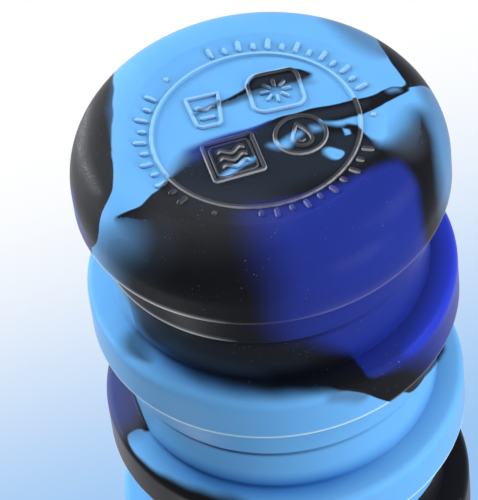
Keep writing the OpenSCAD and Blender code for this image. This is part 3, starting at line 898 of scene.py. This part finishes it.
def object_noise(group, scale_socket, detail, rough=0.55):
    coordinate = group.nodes.new("ShaderNodeTexCoord")
    texture = group.nodes.new("ShaderNodeTexNoise")
    texture.inputs["Detail"].default_value = detail
    texture.inputs["Roughness"].default_value = rough
    link(group, coordinate.outputs["Object"], texture.inputs["Vector"])
    link(group, scale_socket, texture.inputs["Scale"])
    return texture.outputs["Fac"]


def mapped(tree, value, low, high, to_low=0.0, to_high=1.0, smooth=True):
    """value, stretched from low..high to to_low..to_high and kept within them."""
    node = tree.nodes.new("ShaderNodeMapRange")
    node.interpolation_type = "SMOOTHSTEP" if smooth else "LINEAR"
    for label, number in (("From Min", low), ("From Max", high), ("To Min", to_low), ("To Max", to_high)):
        node.inputs[label].default_value = number
    link(tree, value, node.inputs["Value"])
    return node.outputs["Result"]


def maths(tree, kind, a, b=None):
    """A math node on sockets or numbers."""
    node = tree.nodes.new("ShaderNodeMath")
    node.operation = kind
    for socket, value in zip(node.inputs, (a, b)):
        if value is None:
            continue
        if isinstance(value, (int, float)):
            socket.default_value = value
        else:
            link(tree, value, socket)
    return node.outputs[0]


def times(tree, a, b):
    return maths(tree, "MULTIPLY", a, b)


def mixed(tree, share, a, b, way="MIX"):
    """Colour a turning into colour b by share; each is a socket or a colour."""
    node = tree.nodes.new("ShaderNodeMix")
    node.data_type = "RGBA"
    node.blend_type = way
    node.clamp_result = True
    for label, value in (("Factor", share), ("A", a), ("B", b)):
        socket = next(s for s in node.inputs if s.name == label and s.enabled)
        if isinstance(value, (tuple, int, float)):
            socket.default_value = value
        else:
            link(tree, value, socket)
    return next(s for s in node.outputs if s.enabled)


def either(tree, share, a, b):
    """Shader a turning into shader b by share."""
    node = tree.nodes.new("ShaderNodeMixShader")
    for socket, source in zip(node.inputs, (share, a, b)):
        link(tree, source, socket)
    return node.outputs[0]


def value_of(tree, name):
    """A value that is written onto the mesh."""
    return node_of(tree, "ShaderNodeAttribute", attribute_name=name).outputs["Fac"]


def grain_group():
    """Fine moulded grain: a height for bump and a roughness around its middle value."""
    group, given, made = new_group(
        "fine_grain", [("Scale", 1800.0), ("Roughness", 0.45), ("Spread", 0.08)],
        [("Height", "NodeSocketFloat"), ("Roughness", "NodeSocketFloat")])
    fine = object_noise(group, given.outputs["Scale"], 3.0)
    wide = object_noise(group, times(group, given.outputs["Scale"], 0.03), 2.0)
    link(group, fine, made.inputs["Height"])
    swing = maths(group, "SUBTRACT", wide, 0.5)
    swing = times(group, swing, given.outputs["Spread"])
    total = maths(group, "ADD", given.outputs["Roughness"], times(group, swing, 2.0))
    link(group, total, made.inputs["Roughness"])
    return group


def dust_group(name, few, many, reach, bare, full):
    """Pale specks of dust, each within a reach of its cell's middle: in those cells whose chance
    lies above few, in full from many, and in drifts between the noise values bare and full."""
    group, given, made = new_group(
        name, [("Scale", 900.0), ("Amount", 0.5)], [("Mask", "NodeSocketFloat")])
    coordinate = group.nodes.new("ShaderNodeTexCoord")
    cells = group.nodes.new("ShaderNodeTexVoronoi")
    cells.feature = "F1"
    link(group, coordinate.outputs["Object"], cells.inputs["Vector"])
    link(group, given.outputs["Scale"], cells.inputs["Scale"])
    split = group.nodes.new("ShaderNodeSeparateColor")
    link(group, cells.outputs["Color"], split.inputs["Color"])
    close = mapped(group, cells.outputs["Distance"], reach, 0.12)
    chosen = mapped(group, split.outputs["Red"], few, many)
    drifts = object_noise(group, times(group, given.outputs["Scale"], 0.05), 2.0)
    patchy = mapped(group, drifts, bare, full)
    mask = times(group, close, times(group, chosen, patchy))
    link(group, times(group, mask, given.outputs["Amount"]), made.inputs["Mask"])
    return group


def drift_group():
    """A slow drift between two colours, as a value."""
    group, given, made = new_group(
        "colour_drift", [("Scale", 160.0), ("Detail", 2.0)], [("Drift", "NodeSocketFloat")])
    coordinate = group.nodes.new("ShaderNodeTexCoord")
    texture = group.nodes.new("ShaderNodeTexNoise")
    link(group, coordinate.outputs["Object"], texture.inputs["Vector"])
    for label in ("Scale", "Detail"):
        link(group, given.outputs[label], texture.inputs[label])
    link(group, texture.outputs["Fac"], made.inputs["Drift"])
    return group


def wear_group():
    """Rubbed edges: pale where the surface turns outwards, broken up by noise."""
    group, given, made = new_group(
        "edge_wear", [("Scale", 260.0), ("Amount", 0.5)], [("Mask", "NodeSocketFloat")])
    geometry = group.nodes.new("ShaderNodeNewGeometry")
    worn = node_of(group, "ShaderNodeBevel", samples=6)
    worn.inputs["Radius"].default_value = 0.45 * MM
    turn = node_of(group, "ShaderNodeVectorMath", operation="DOT_PRODUCT")
    link(group, geometry.outputs["Normal"], turn.inputs[0])
    link(group, worn.outputs["Normal"], turn.inputs[1])
    edge = mapped(group, turn.outputs["Value"], 0.995, 0.90)
    broken = mapped(group, object_noise(group, given.outputs["Scale"], 4.0), 0.35, 0.65)
    mask = times(group, edge, broken)
    link(group, times(group, mask, given.outputs["Amount"]), made.inputs["Mask"])
    return group


GRAIN = grain_group()
DUST = dust_group("dust_specks", 0.90, 0.99, 0.30, 0.4, 0.7)
BLOOM = dust_group("dust_bloom", 0.3, 0.9, 0.6, 0.2, 0.5)
DRIFT = drift_group()
WEAR = wear_group()


def use_group(tree, group, **values):
    node = tree.nodes.new("ShaderNodeGroup")
    node.node_tree = group
    for label, value in values.items():
        node.inputs[label].default_value = value
    return node


def new_finish(name, roughness, metallic=0.0, **sockets):
    """A material with its shader; returns the material, its tree and the shader."""
    material = bpy.data.materials.new(name)
    material.use_nodes = True
    tree = material.node_tree
    shader = tree.nodes["Principled BSDF"]
    shader.inputs["Roughness"].default_value = roughness
    shader.inputs["Metallic"].default_value = metallic
    for label, value in sockets.items():
        shader.inputs[label.replace("_", " ")].default_value = value
    return material, tree, shader


def add_grain(tree, shader, scale, roughness, spread, bump, distance=0.00004):
    grain = use_group(tree, GRAIN, Scale=scale, Roughness=roughness, Spread=spread)
    link(tree, grain.outputs["Roughness"], shader.inputs["Roughness"])
    node = tree.nodes.new("ShaderNodeBump")
    node.inputs["Strength"].default_value = bump
    node.inputs["Distance"].default_value = distance
    link(tree, grain.outputs["Height"], node.inputs["Height"])
    link(tree, node.outputs["Normal"], shader.inputs["Normal"])


# Colours and finishes
SKY_BLUE = (0.165, 0.495, 0.97, 1)
SKY_DEEP = (0.14, 0.46, 0.94, 1)
ROYAL_BLUE = (0.015, 0.032, 0.29, 1)
# Royal blue as under painted light
ROYAL_PAINTED_LIGHT = (0.022, 0.052, 0.75, 1)
SOFT_BLACK = (0.009, 0.009, 0.012, 1)
HAZE_GREY = (0.065, 0.12, 0.22, 1)
# A film of haze, which in places paints a sheen
HAZE_AND_SHEEN_FILM = (0.06, 0.10, 0.165, 1)
# Painted shade, and the painted dark lines in creases
PAINTED_SHADE_TINT = (0.13, 0.35, 0.62, 1)
CREASE_SHADE_TINT = (0.06, 0.10, 0.18, 1)
# Painted highlights of marks and lips, painted glints, and the gain of a lip's painted highlight
HIGHLIGHT_PALE = (0.74, 0.76, 0.77, 1)
GLINT_PALE = (0.92, 0.97, 1.0, 1)
LIP_HIGHLIGHT_GAIN = (4.0, 1.8, 1.04, 1)
DUST_WHITE = (0.55, 0.57, 0.60, 1)
METAL_WORN = (0.86, 0.87, 0.88, 1)
# How far each layer of the marbled silicone, and each painted shade, highlight, glint and sheen, covers
# what lies under it
DRIFT_MM = 0.5
HAZE_UNDER, HAZE_AND_SHEEN_OVER = 0.5, 0.2
MARK_HIGHLIGHT, MARK_ON_BLUE = 0.6, 0.4
LIP_HIGHLIGHT_SHARE = 0.16
GLINT_SHARE = 0.9
DUST_AND_SHEEN_FILM = 0.13
BOUNCE_LOSS = 0.7


def drift_of(tree, scale, detail=2.0):
    return use_group(tree, DRIFT, Scale=scale, Detail=detail).outputs["Drift"]


def mask_of(tree, group, scale, amount):
    return use_group(tree, group, Scale=scale, Amount=amount).outputs["Mask"]


def dusted(tree, colour, scale, amount):
    """The colour with pale specks of dust on it."""
    return mixed(tree, mask_of(tree, DUST, scale, amount), colour, DUST_WHITE)


def worn(tree, colour, pale, scale, amount):
    """The colour, rubbed paler on its outer edges."""
    return mixed(tree, mask_of(tree, WEAR, scale, amount), colour, pale)


def marbled_silicone():
    """Sky blue silicone with layers of haze, black, royal blue under painted light, and sky blue in it,
    then the painted shade, dark lines, highlights and glints of its edges and marks, dust, and a film of
    painted sheen."""
    material, tree, shader = new_finish("marbled_silicone", 0.42, Sheen_Weight=0.02, Sheen_Roughness=0.4)
    cloud = drift_of(tree, 160, 4)
    drift = times(tree, maths(tree, "SUBTRACT", cloud, 0.5), DRIFT_MM)
    shares = {}
    for layer in LAYERS:
        depth = maths(tree, "ADD", value_of(tree, layer), drift)
        ratio = maths(tree, "DIVIDE", depth, value_of(tree, layer + "_soft"))
        shares[layer] = mapped(tree, ratio, -1, 1)
    colour = mixed(tree, cloud, SKY_DEEP, SKY_BLUE)
    colour = mixed(tree, times(tree, shares["haze"], HAZE_UNDER), colour, HAZE_GREY)
    colour = mixed(tree, shares["black"], colour, SOFT_BLACK)
    # Painted light on the royal blue
    royal = mixed(tree, value_of(tree, "painted_light"), ROYAL_BLUE, ROYAL_PAINTED_LIGHT)
    colour = mixed(tree, shares["royal"], colour, royal)
    # The haze film, which in places paints a sheen
    colour = mixed(tree, times(tree, shares["haze"], HAZE_AND_SHEEN_OVER), colour, HAZE_AND_SHEEN_FILM)
    colour = mixed(tree, shares["sky"], colour, SKY_BLUE)
    edge = value_of(tree, "edge")
    # Painted shade where edge is under 0, then painted dark lines in the creases
    colour = mixed(tree, mapped(tree, edge, 0, -1, smooth=False), colour, PAINTED_SHADE_TINT, "MULTIPLY")
    colour = mixed(tree, value_of(tree, "crease"), colour, CREASE_SHADE_TINT, "MULTIPLY")
    # Painted highlight where edge is above 0: on lips and on the tops of marks
    bright = mapped(tree, edge, 0, 1)
    colour = mixed(tree, bright, colour, mixed(tree, 1.0, colour, LIP_HIGHLIGHT_GAIN, "MULTIPLY"))
    lighter = maths(tree, "MAXIMUM", shares["royal"], shares["sky"])
    dark = times(tree, shares["black"], maths(tree, "SUBTRACT", 1.0, lighter))
    # Painted highlight on the flanks of marks, weaker on blue, and on lips
    rubbed = mapped(tree, value_of(tree, "mark"), 0, 1, 0, MARK_HIGHLIGHT)
    rubbed = times(tree, rubbed, mapped(tree, dark, 0, 1, MARK_ON_BLUE, 1))
    rubbed = maths(tree, "ADD", rubbed, times(tree, bright, LIP_HIGHLIGHT_SHARE))
    colour = mixed(tree, rubbed, colour, HIGHLIGHT_PALE, "ADD")
    # Painted glint, lightening lips on the left
    shine = times(tree, value_of(tree, "shine"), GLINT_SHARE)
    colour = mixed(tree, shine, colour, GLINT_PALE, "LIGHTEN")
    colour = dusted(tree, colour, 2300, 0.4)
    # A pale film of painted sheen, with dust specks where it is fullest
    dust_and_sheen = value_of(tree, "dust_and_sheen")
    colour = mixed(tree, times(tree, dust_and_sheen, DUST_AND_SHEEN_FILM), colour, DUST_WHITE)
    bloom = times(tree, mask_of(tree, BLOOM, 4200, 0.7), mapped(tree, dust_and_sheen, 0.5, 1))
    colour = mixed(tree, bloom, colour, DUST_WHITE)
    path = tree.nodes.new("ShaderNodeLightPath")
    bounce = times(tree, path.outputs["Is Diffuse Ray"], BOUNCE_LOSS)
    colour = mixed(tree, bounce, colour, SOFT_BLACK)
    link(tree, colour, shader.inputs["Base Color"])
    add_grain(tree, shader, 2600, 0.34, 0.05, 0.25)
    return material


def plain_silicone(name, light, deep, roughness=0.4):
    """Silicone of one colour, with a slow drift in it."""
    material, tree, shader = new_finish(name, roughness, Sheen_Weight=0.06, Sheen_Roughness=0.4)
    colour = mixed(tree, drift_of(tree, 140), deep, light)
    link(tree, dusted(tree, colour, 1500, 0.35), shader.inputs["Base Color"])
    add_grain(tree, shader, 2600, roughness, 0.05, 0.25)
    return material


def moulded_plastic(name, light, deep, pale, roughness, grain):
    """Hard moulded plastic with a spark-textured face and rubbed edges."""
    material, tree, shader = new_finish(name, roughness)
    colour = mixed(tree, drift_of(tree, 90, 3), deep, light)
    colour = worn(tree, colour, pale, 420, 0.4)
    link(tree, dusted(tree, colour, 1300, 0.3), shader.inputs["Base Color"])
    add_grain(tree, shader, 2200, roughness, 0.06, grain)
    return material


def satin_metal(name, light, deep, roughness, wear_amount):
    """Metal with fine tumbling marks and brighter rubbed edges."""
    material, tree, shader = new_finish(name, roughness, metallic=1.0)
    coordinate = tree.nodes.new("ShaderNodeTexCoord")
    stretch = node_of(tree, "ShaderNodeMapping")
    stretch.inputs["Scale"].default_value = (1.0, 1.0, 0.12)
    link(tree, coordinate.outputs["Object"], stretch.inputs["Vector"])
    marks = node_of(tree, "ShaderNodeTexNoise")
    marks.inputs["Scale"].default_value = 1500
    marks.inputs["Detail"].default_value = 3
    link(tree, stretch.outputs["Vector"], marks.inputs["Vector"])
    colour = mixed(tree, marks.outputs["Fac"], deep, light)
    colour = worn(tree, colour, METAL_WORN, 500, wear_amount)
    link(tree, colour, shader.inputs["Base Color"])
    add_grain(tree, shader, 1900, roughness, 0.12, 0.12)
    return material


def dress(piece, material):
    piece.data.materials.clear()
    piece.data.materials.append(material)


# Small soft pieces of the lid
def make_turned_soft(name, corners, body, node, steps=96, centre=(0, 0), closed=True):
    """A small turned soft piece with rounded edges."""
    if closed:
        line = rounded(corners + [corners[0], corners[1]], 5)[1:]
        line = spaced(line, 1.2)
        line = line if math.dist(line[0], line[-1]) > 1e-4 else line[:-1]
    else:
        line = spaced(rounded(corners, 5), 1.2)
    piece = turned(name, line, steps, centre)[0]
    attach(piece, body)
    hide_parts(node)
    return piece


def make_spout():
    r = 8.5
    bore = 6.0
    low, top = foot_of("spout"), top_of("spout")
    ceiling = low + 1.5
    flange = radius_of("spout")
    waist = r - 0.55
    corners = [(bore, low, 0.4), (flange, low, 0.4), (flange, ceiling, 0.3), (r, ceiling, 0.4),
               (r, top - 4.2, 1.5), (waist, top - 3.0, 1.0), (waist, top - 2.2, 0.8),
               (r, top - 1.6, 0.8), (r, top, 1.0), (bore + 0.5, top, 0.9), (bore, top - 2.4, 2.0)]
    return make_turned_soft("spout_silicone", corners, "lid", "spout")


def make_gasket():
    low, top = foot_of("lid_gasket"), top_of("lid_gasket")
    out, bore = radius_of("lid_gasket"), 20.8
    middle = (low + top) / 2
    corners = [(bore, low, 0.3), (out, low, 0.35), (out - 0.25, middle, 0.2), (out, top, 0.35),
               (bore, top, 0.3), (bore + 0.2, middle, 0.2)]
    return make_turned_soft("lid_gasket_ring", corners, "gasket", "lid_gasket", 160)


def make_valve():
    low, top = foot_of("vent_valve"), top_of("vent_valve")
    centre = (14.0, -9.0)
    corners = [(0, low), (2.2, low + 0.05, 0.3), (3.0, low + 0.7, 0.3), (3.0, low + 1.2, 0.15),
               (1.5, low + 1.25, 0.1), (1.5, top - 0.65, 0.1), (2.1, top - 0.6, 0.1),
               (2.1, top - 0.3, 0.2), (1.2, top, 0.4), (0, top)]
    return make_turned_soft("vent_valve_soft", corners, "lid", "vent_valve", 48, centre, closed=False)


def make_seal():
    low, top = foot_of("spout_seal"), top_of("spout_seal")
    out = radius_of("spout_seal")
    face = low + 0.02
    corners = [(0, low + 0.5), (4.8, low + 0.5, 0.4), (5.4, face, 0.3), (out, face, 0.5),
               (out, top, 0.4), (0, top)]
    return make_turned_soft("spout_seal_soft", corners, "flip_cap", "spout_seal", 96, closed=False)


def make_spring():
    """The coil in the carabiner's gate."""
    low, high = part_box("gate_spring")
    low, high = low / MM, high / MM
    wire = 0.22
    turns = 9
    coil_r = (high.x - low.x) / 2 - wire
    mid_x, mid_y = (low.x + high.x) / 2, (low.y + high.y) / 2
    count, sides = turns * 20, 8
    rise = high.z - low.z - 2 * wire
    points = []
    for i in range(count + 1):
        t = i / count
        a = 2 * math.pi * turns * t
        out = Vector((math.cos(a), math.sin(a), 0))
        for j in range(sides):
            b = 2 * math.pi * j / sides
            p = out * (coil_r + wire * math.cos(b))
            points.append((mid_x + p.x, mid_y + p.y, low.z + wire + rise * t + wire * math.sin(b)))
    faces = tube_faces(count + 1, sides, outward=False)
    faces.append(tuple(range(sides)))
    faces.append(tuple(range(count * sides + sides - 1, count * sides - 1, -1)))
    piece = new_piece("gate_coil", points, faces, 60)
    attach(piece, "gate")
    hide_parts("gate_spring")
    return piece


def smooth_shading():
    """A modifier's node tree that shades every face smooth."""
    tree = bpy.data.node_groups.new("smooth_shading", "GeometryNodeTree")
    tree.interface.new_socket("Geometry", in_out="INPUT", socket_type="NodeSocketGeometry")
    tree.interface.new_socket("Geometry", in_out="OUTPUT", socket_type="NodeSocketGeometry")
    given, made = tree.nodes.new("NodeGroupInput"), tree.nodes.new("NodeGroupOutput")
    smooth = tree.nodes.new("GeometryNodeSetShadeSmooth")
    link(tree, given.outputs[0], smooth.inputs["Geometry"])
    link(tree, smooth.outputs[0], made.inputs[0])
    return tree


SMOOTH = smooth_shading()


def soften(node, width):
    """Rounded edges on a hard solid, by modifiers."""
    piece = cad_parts[node]
    piece.modifiers.new("smooth_faces", "NODES").node_group = SMOOTH
    bevel = piece.modifiers.new("rounded_edges", "BEVEL")
    bevel.width = width * MM
    bevel.segments = 3
    bevel.limit_method = "ANGLE"
    bevel.angle_limit = math.radians(38)
    bevel.harden_normals = True
    bevel.use_clamp_overlap = True
    return piece


# The stage: floor, world, lights and camera
FLOOR_HALF = 40.0
FLOOR_DROP = 0.0002
FLOOR_PALE = (0.86, 0.90, 0.94, 1)
FLOOR_GLOW = (0.90, 0.95, 1.0, 1)


def make_floor():
    """A pale floor that the camera sees from above, and that neither hides nor lights the base."""
    mesh = bpy.data.meshes.new("floor")
    ways = ((-1, -1), (1, -1), (1, 1), (-1, 1))
    corners = [(x * FLOOR_HALF, y * FLOOR_HALF, -FLOOR_DROP) for x, y in ways]
    mesh.from_pydata(corners, [], [(0, 1, 2, 3)])
    floor = bpy.data.objects.new("floor", mesh)
    bpy.context.scene.collection.objects.link(floor)
    material, tree, shader = new_finish(
        "pale_floor", 0.9, Base_Color=FLOOR_PALE, Specular_IOR_Level=0.1,
        Emission_Color=FLOOR_GLOW, Emission_Strength=0.36)
    path = tree.nodes.new("ShaderNodeLightPath")
    geometry = tree.nodes.new("ShaderNodeNewGeometry")
    front = maths(tree, "SUBTRACT", 1.0, geometry.outputs["Backfacing"])
    shown = times(tree, path.outputs["Is Camera Ray"], front)
    clear = tree.nodes.new("ShaderNodeBsdfTransparent")
    surface = either(tree, shown, clear.outputs[0], shader.outputs[0])
    link(tree, surface, tree.nodes["Material Output"].inputs["Surface"])
    mesh.materials.append(material)


# The camera: how it stands to the base, in degrees, metres and photograph pixels
FRAME_W, FRAME_H = 478, 500
CAMERA_BELOW = 46.38
CAMERA_ROLL = 6.66
CAMERA_AWAY = 0.646
FOCAL_PX = 3392.0
BASE_PX = (255.7, 126.2)
SENSOR = 36.0


def camera_axes():
    """Right, up and forward of a camera that sees the base's centre at its pixel."""
    e, roll = math.radians(CAMERA_BELOW), math.radians(CAMERA_ROLL)
    toward = Vector((0, -math.cos(e), -math.sin(e)))
    right, up = Vector((-1, 0, 0)), Vector((0, math.sin(e), -math.cos(e)))
    turned_right = right * math.cos(roll) - up * math.sin(roll)
    turned_up = right * math.sin(roll) + up * math.cos(roll)
    rest = Matrix((turned_right, turned_up, -toward))
    aim = Vector(((BASE_PX[0] - FRAME_W / 2) / FOCAL_PX, -(BASE_PX[1] - FRAME_H / 2) / FOCAL_PX, 1))
    swing = Vector((0, 0, 1)).rotation_difference(aim).to_matrix()
    return toward * CAMERA_AWAY, swing @ rest


def make_camera():
    place, axes = camera_axes()
    data = bpy.data.cameras.new("camera")
    data.sensor_fit = "AUTO"
    data.sensor_width = SENSOR
    data.lens = SENSOR * FOCAL_PX / max(FRAME_W, FRAME_H)
    data.clip_start, data.clip_end = 0.01, 100
    camera = bpy.data.objects.new("camera", data)
    bpy.context.scene.collection.objects.link(camera)
    right, up, ahead = axes[0], axes[1], axes[2]
    turn = Matrix((right, up, -ahead)).transposed()
    camera.matrix_world = Matrix.Translation(place) @ turn.to_4x4()
    bpy.context.scene.camera = camera
    return right, up, ahead


BACKDROP_WHITE = (1, 1, 1, 1)
BACKDROP_BLUE = (0.305, 0.558, 0.905, 1)
GLOSS_LEFT = (0.64, 0.66, 0.70, 1)
GLOSS_RIGHT = (0.54, 0.57, 0.66, 1)
GLOSS_DIM = (0.10, 0.11, 0.13, 1)
GLOSS_BELOW = (0.05, 0.06, 0.08, 1)
PLAIN_LIGHT = (0.96, 0.98, 1.0, 1)
PLAIN_STRENGTH = 0.30


def dot_with(tree, way, direction):
    node = node_of(tree, "ShaderNodeVectorMath", operation="DOT_PRODUCT")
    node.inputs[1].default_value = direction
    link(tree, way, node.inputs[0])
    return node.outputs["Value"]


def make_world(right, up, ahead):
    """A white backdrop that turns pale blue behind the object, quieter in reflections, and plain
    grey light for everything else."""
    world = bpy.data.worlds.new("studio")
    bpy.context.scene.world = world
    world.use_nodes = True
    tree = world.node_tree
    tree.nodes.clear()
    coordinate = tree.nodes.new("ShaderNodeTexCoord")
    way = coordinate.outputs["Generated"]
    across = mapped(tree, dot_with(tree, way, right * 0.30 - up * 0.95), -0.05, 0.085)
    behind = mapped(tree, dot_with(tree, way, ahead), 0.985, 0.993)
    backdrop = mixed(tree, times(tree, across, behind), BACKDROP_WHITE, BACKDROP_BLUE)
    split = tree.nodes.new("ShaderNodeSeparateXYZ")
    link(tree, way, split.inputs[0])
    pale = mixed(tree, mapped(tree, split.outputs["X"], -0.2, 0.25), GLOSS_RIGHT, GLOSS_LEFT)
    gloss = mixed(tree, mapped(tree, split.outputs["Y"], 0.0, 0.6), GLOSS_DIM, pale)
    gloss = mixed(tree, mapped(tree, split.outputs["Z"], -0.3, 0.75), GLOSS_BELOW, gloss)
    path = tree.nodes.new("ShaderNodeLightPath")
    seen = maths(tree, "MAXIMUM", path.outputs["Is Camera Ray"], path.outputs["Is Glossy Ray"])
    seen = maths(tree, "MAXIMUM", seen, path.outputs["Is Transmission Ray"])
    shown = tree.nodes.new("ShaderNodeBackground")
    link(tree, mixed(tree, path.outputs["Is Glossy Ray"], backdrop, gloss), shown.inputs["Color"])
    light = tree.nodes.new("ShaderNodeBackground")
    light.inputs["Color"].default_value = PLAIN_LIGHT
    light.inputs["Strength"].default_value = PLAIN_STRENGTH
    out = tree.nodes.new("ShaderNodeOutputWorld")
    link(tree, either(tree, seen, light.outputs[0], shown.outputs[0]), out.inputs["Surface"])


def soft_light(name, place, aim, size, share, glossy=True, diffuse=True, wide=None):
    """An oblong lamp that gives a surface facing it that share of its own colour."""
    data = bpy.data.lights.new(name, "AREA")
    data.shape = "RECTANGLE"
    data.size = wide or size
    data.size_y = size
    place, aim = Vector(place), Vector(aim)
    data.energy = share * (math.pi * (aim - place).length) ** 2
    lamp = bpy.data.objects.new(name, data)
    lamp.location = place
    lamp.rotation_mode = "QUATERNION"
    lamp.rotation_quaternion = (aim - place).to_track_quat("-Z", "Y")
    lamp.visible_glossy = glossy
    lamp.visible_diffuse = diffuse
    bpy.context.scene.collection.objects.link(lamp)


# Everything put together
bpy.context.scene.view_settings.view_transform = "Standard"
right, up, ahead = make_camera()
make_world(right, up, ahead)
make_floor()
soft_light("key_below", (0.32, 0.50, -0.75), (0, 0, 0.03), 0.30, 0.40, glossy=False)
soft_light("relief", (0.58, 0.66, -0.40), (0, 0, 0.03), 0.16, 0.40, glossy=False)
soft_light("right_below", (-0.80, -0.05, -0.52), (0, 0, 0.05), 0.35, 0.38, glossy=False)
soft_light("right_side", (-0.70, -0.62, -0.08), (0, 0, 0.05), 0.35, 0.70, glossy=False)
soft_light("left_side", (0.85, 0.25, -0.15), (0, 0, 0.05), 0.30, 0.50, glossy=False)
soft_light("left_glint", (0.74, 0.66, -0.05), (0, 0, 0.03), 0.60, 0.06, diffuse=False)
soft_light("lip_glint", (0.36, 0.10, 0.92), (0, 0, 0.03), 0.20, 0.12, diffuse=False, wide=0.50)
soft_light("top_light", (0.20, 0.55, 0.85), (0, 0, 0.10), 0.50, 0.45, glossy=False)

silicone = marbled_silicone()
blue_silicone = plain_silicone("blue_silicone", SKY_BLUE, SKY_DEEP)
clear_silicone = plain_silicone("clear_silicone", (0.80, 0.83, 0.86, 1), (0.70, 0.74, 0.78, 1), 0.35)
dark_plastic = moulded_plastic("dark_plastic", (0.022, 0.023, 0.026, 1), (0.014, 0.014, 0.017, 1),
                               (0.10, 0.10, 0.11, 1), 0.46, 0.35)
pale_plastic = moulded_plastic("pale_plastic", (0.78, 0.80, 0.82, 1), (0.70, 0.72, 0.75, 1),
                               (0.86, 0.87, 0.88, 1), 0.36, 0.12)
steel = satin_metal("steel", (0.72, 0.73, 0.75, 1), (0.56, 0.57, 0.60, 1), 0.26, 0.5)
aluminium = satin_metal("anodised_aluminium", (0.46, 0.50, 0.56, 1), (0.36, 0.39, 0.45, 1), 0.34, 0.6)

for piece in [
    make_base(), make_marks(),
    make_ring(1, "stage_1"), make_ring(2, "stage_2"), make_ring(3, "stage_3"), make_shoulder(),
    make_skirt(1), make_skirt(2),
    make_skirt(3), make_skirt(4),
]:
    dress(piece, silicone)
dress(make_spout(), blue_silicone)
for piece in (make_gasket(), make_valve(), make_seal()):
    dress(piece, clear_silicone)
dress(make_spring(), steel)

for node, width in (("lid", 0.35), ("flip_cap", 0.4), ("clamp_collar", 0.4)):
    dress(soften(node, width), dark_plastic)
dress(soften("neck_insert", 0.3), pale_plastic)
for node in ("flip_hinge_pin", "gate_pin"):
    dress(soften(node, 0.2), steel)
for node in ("carabiner_body", "carabiner_gate"):
    dress(soften(node, 0.2), aluminium)
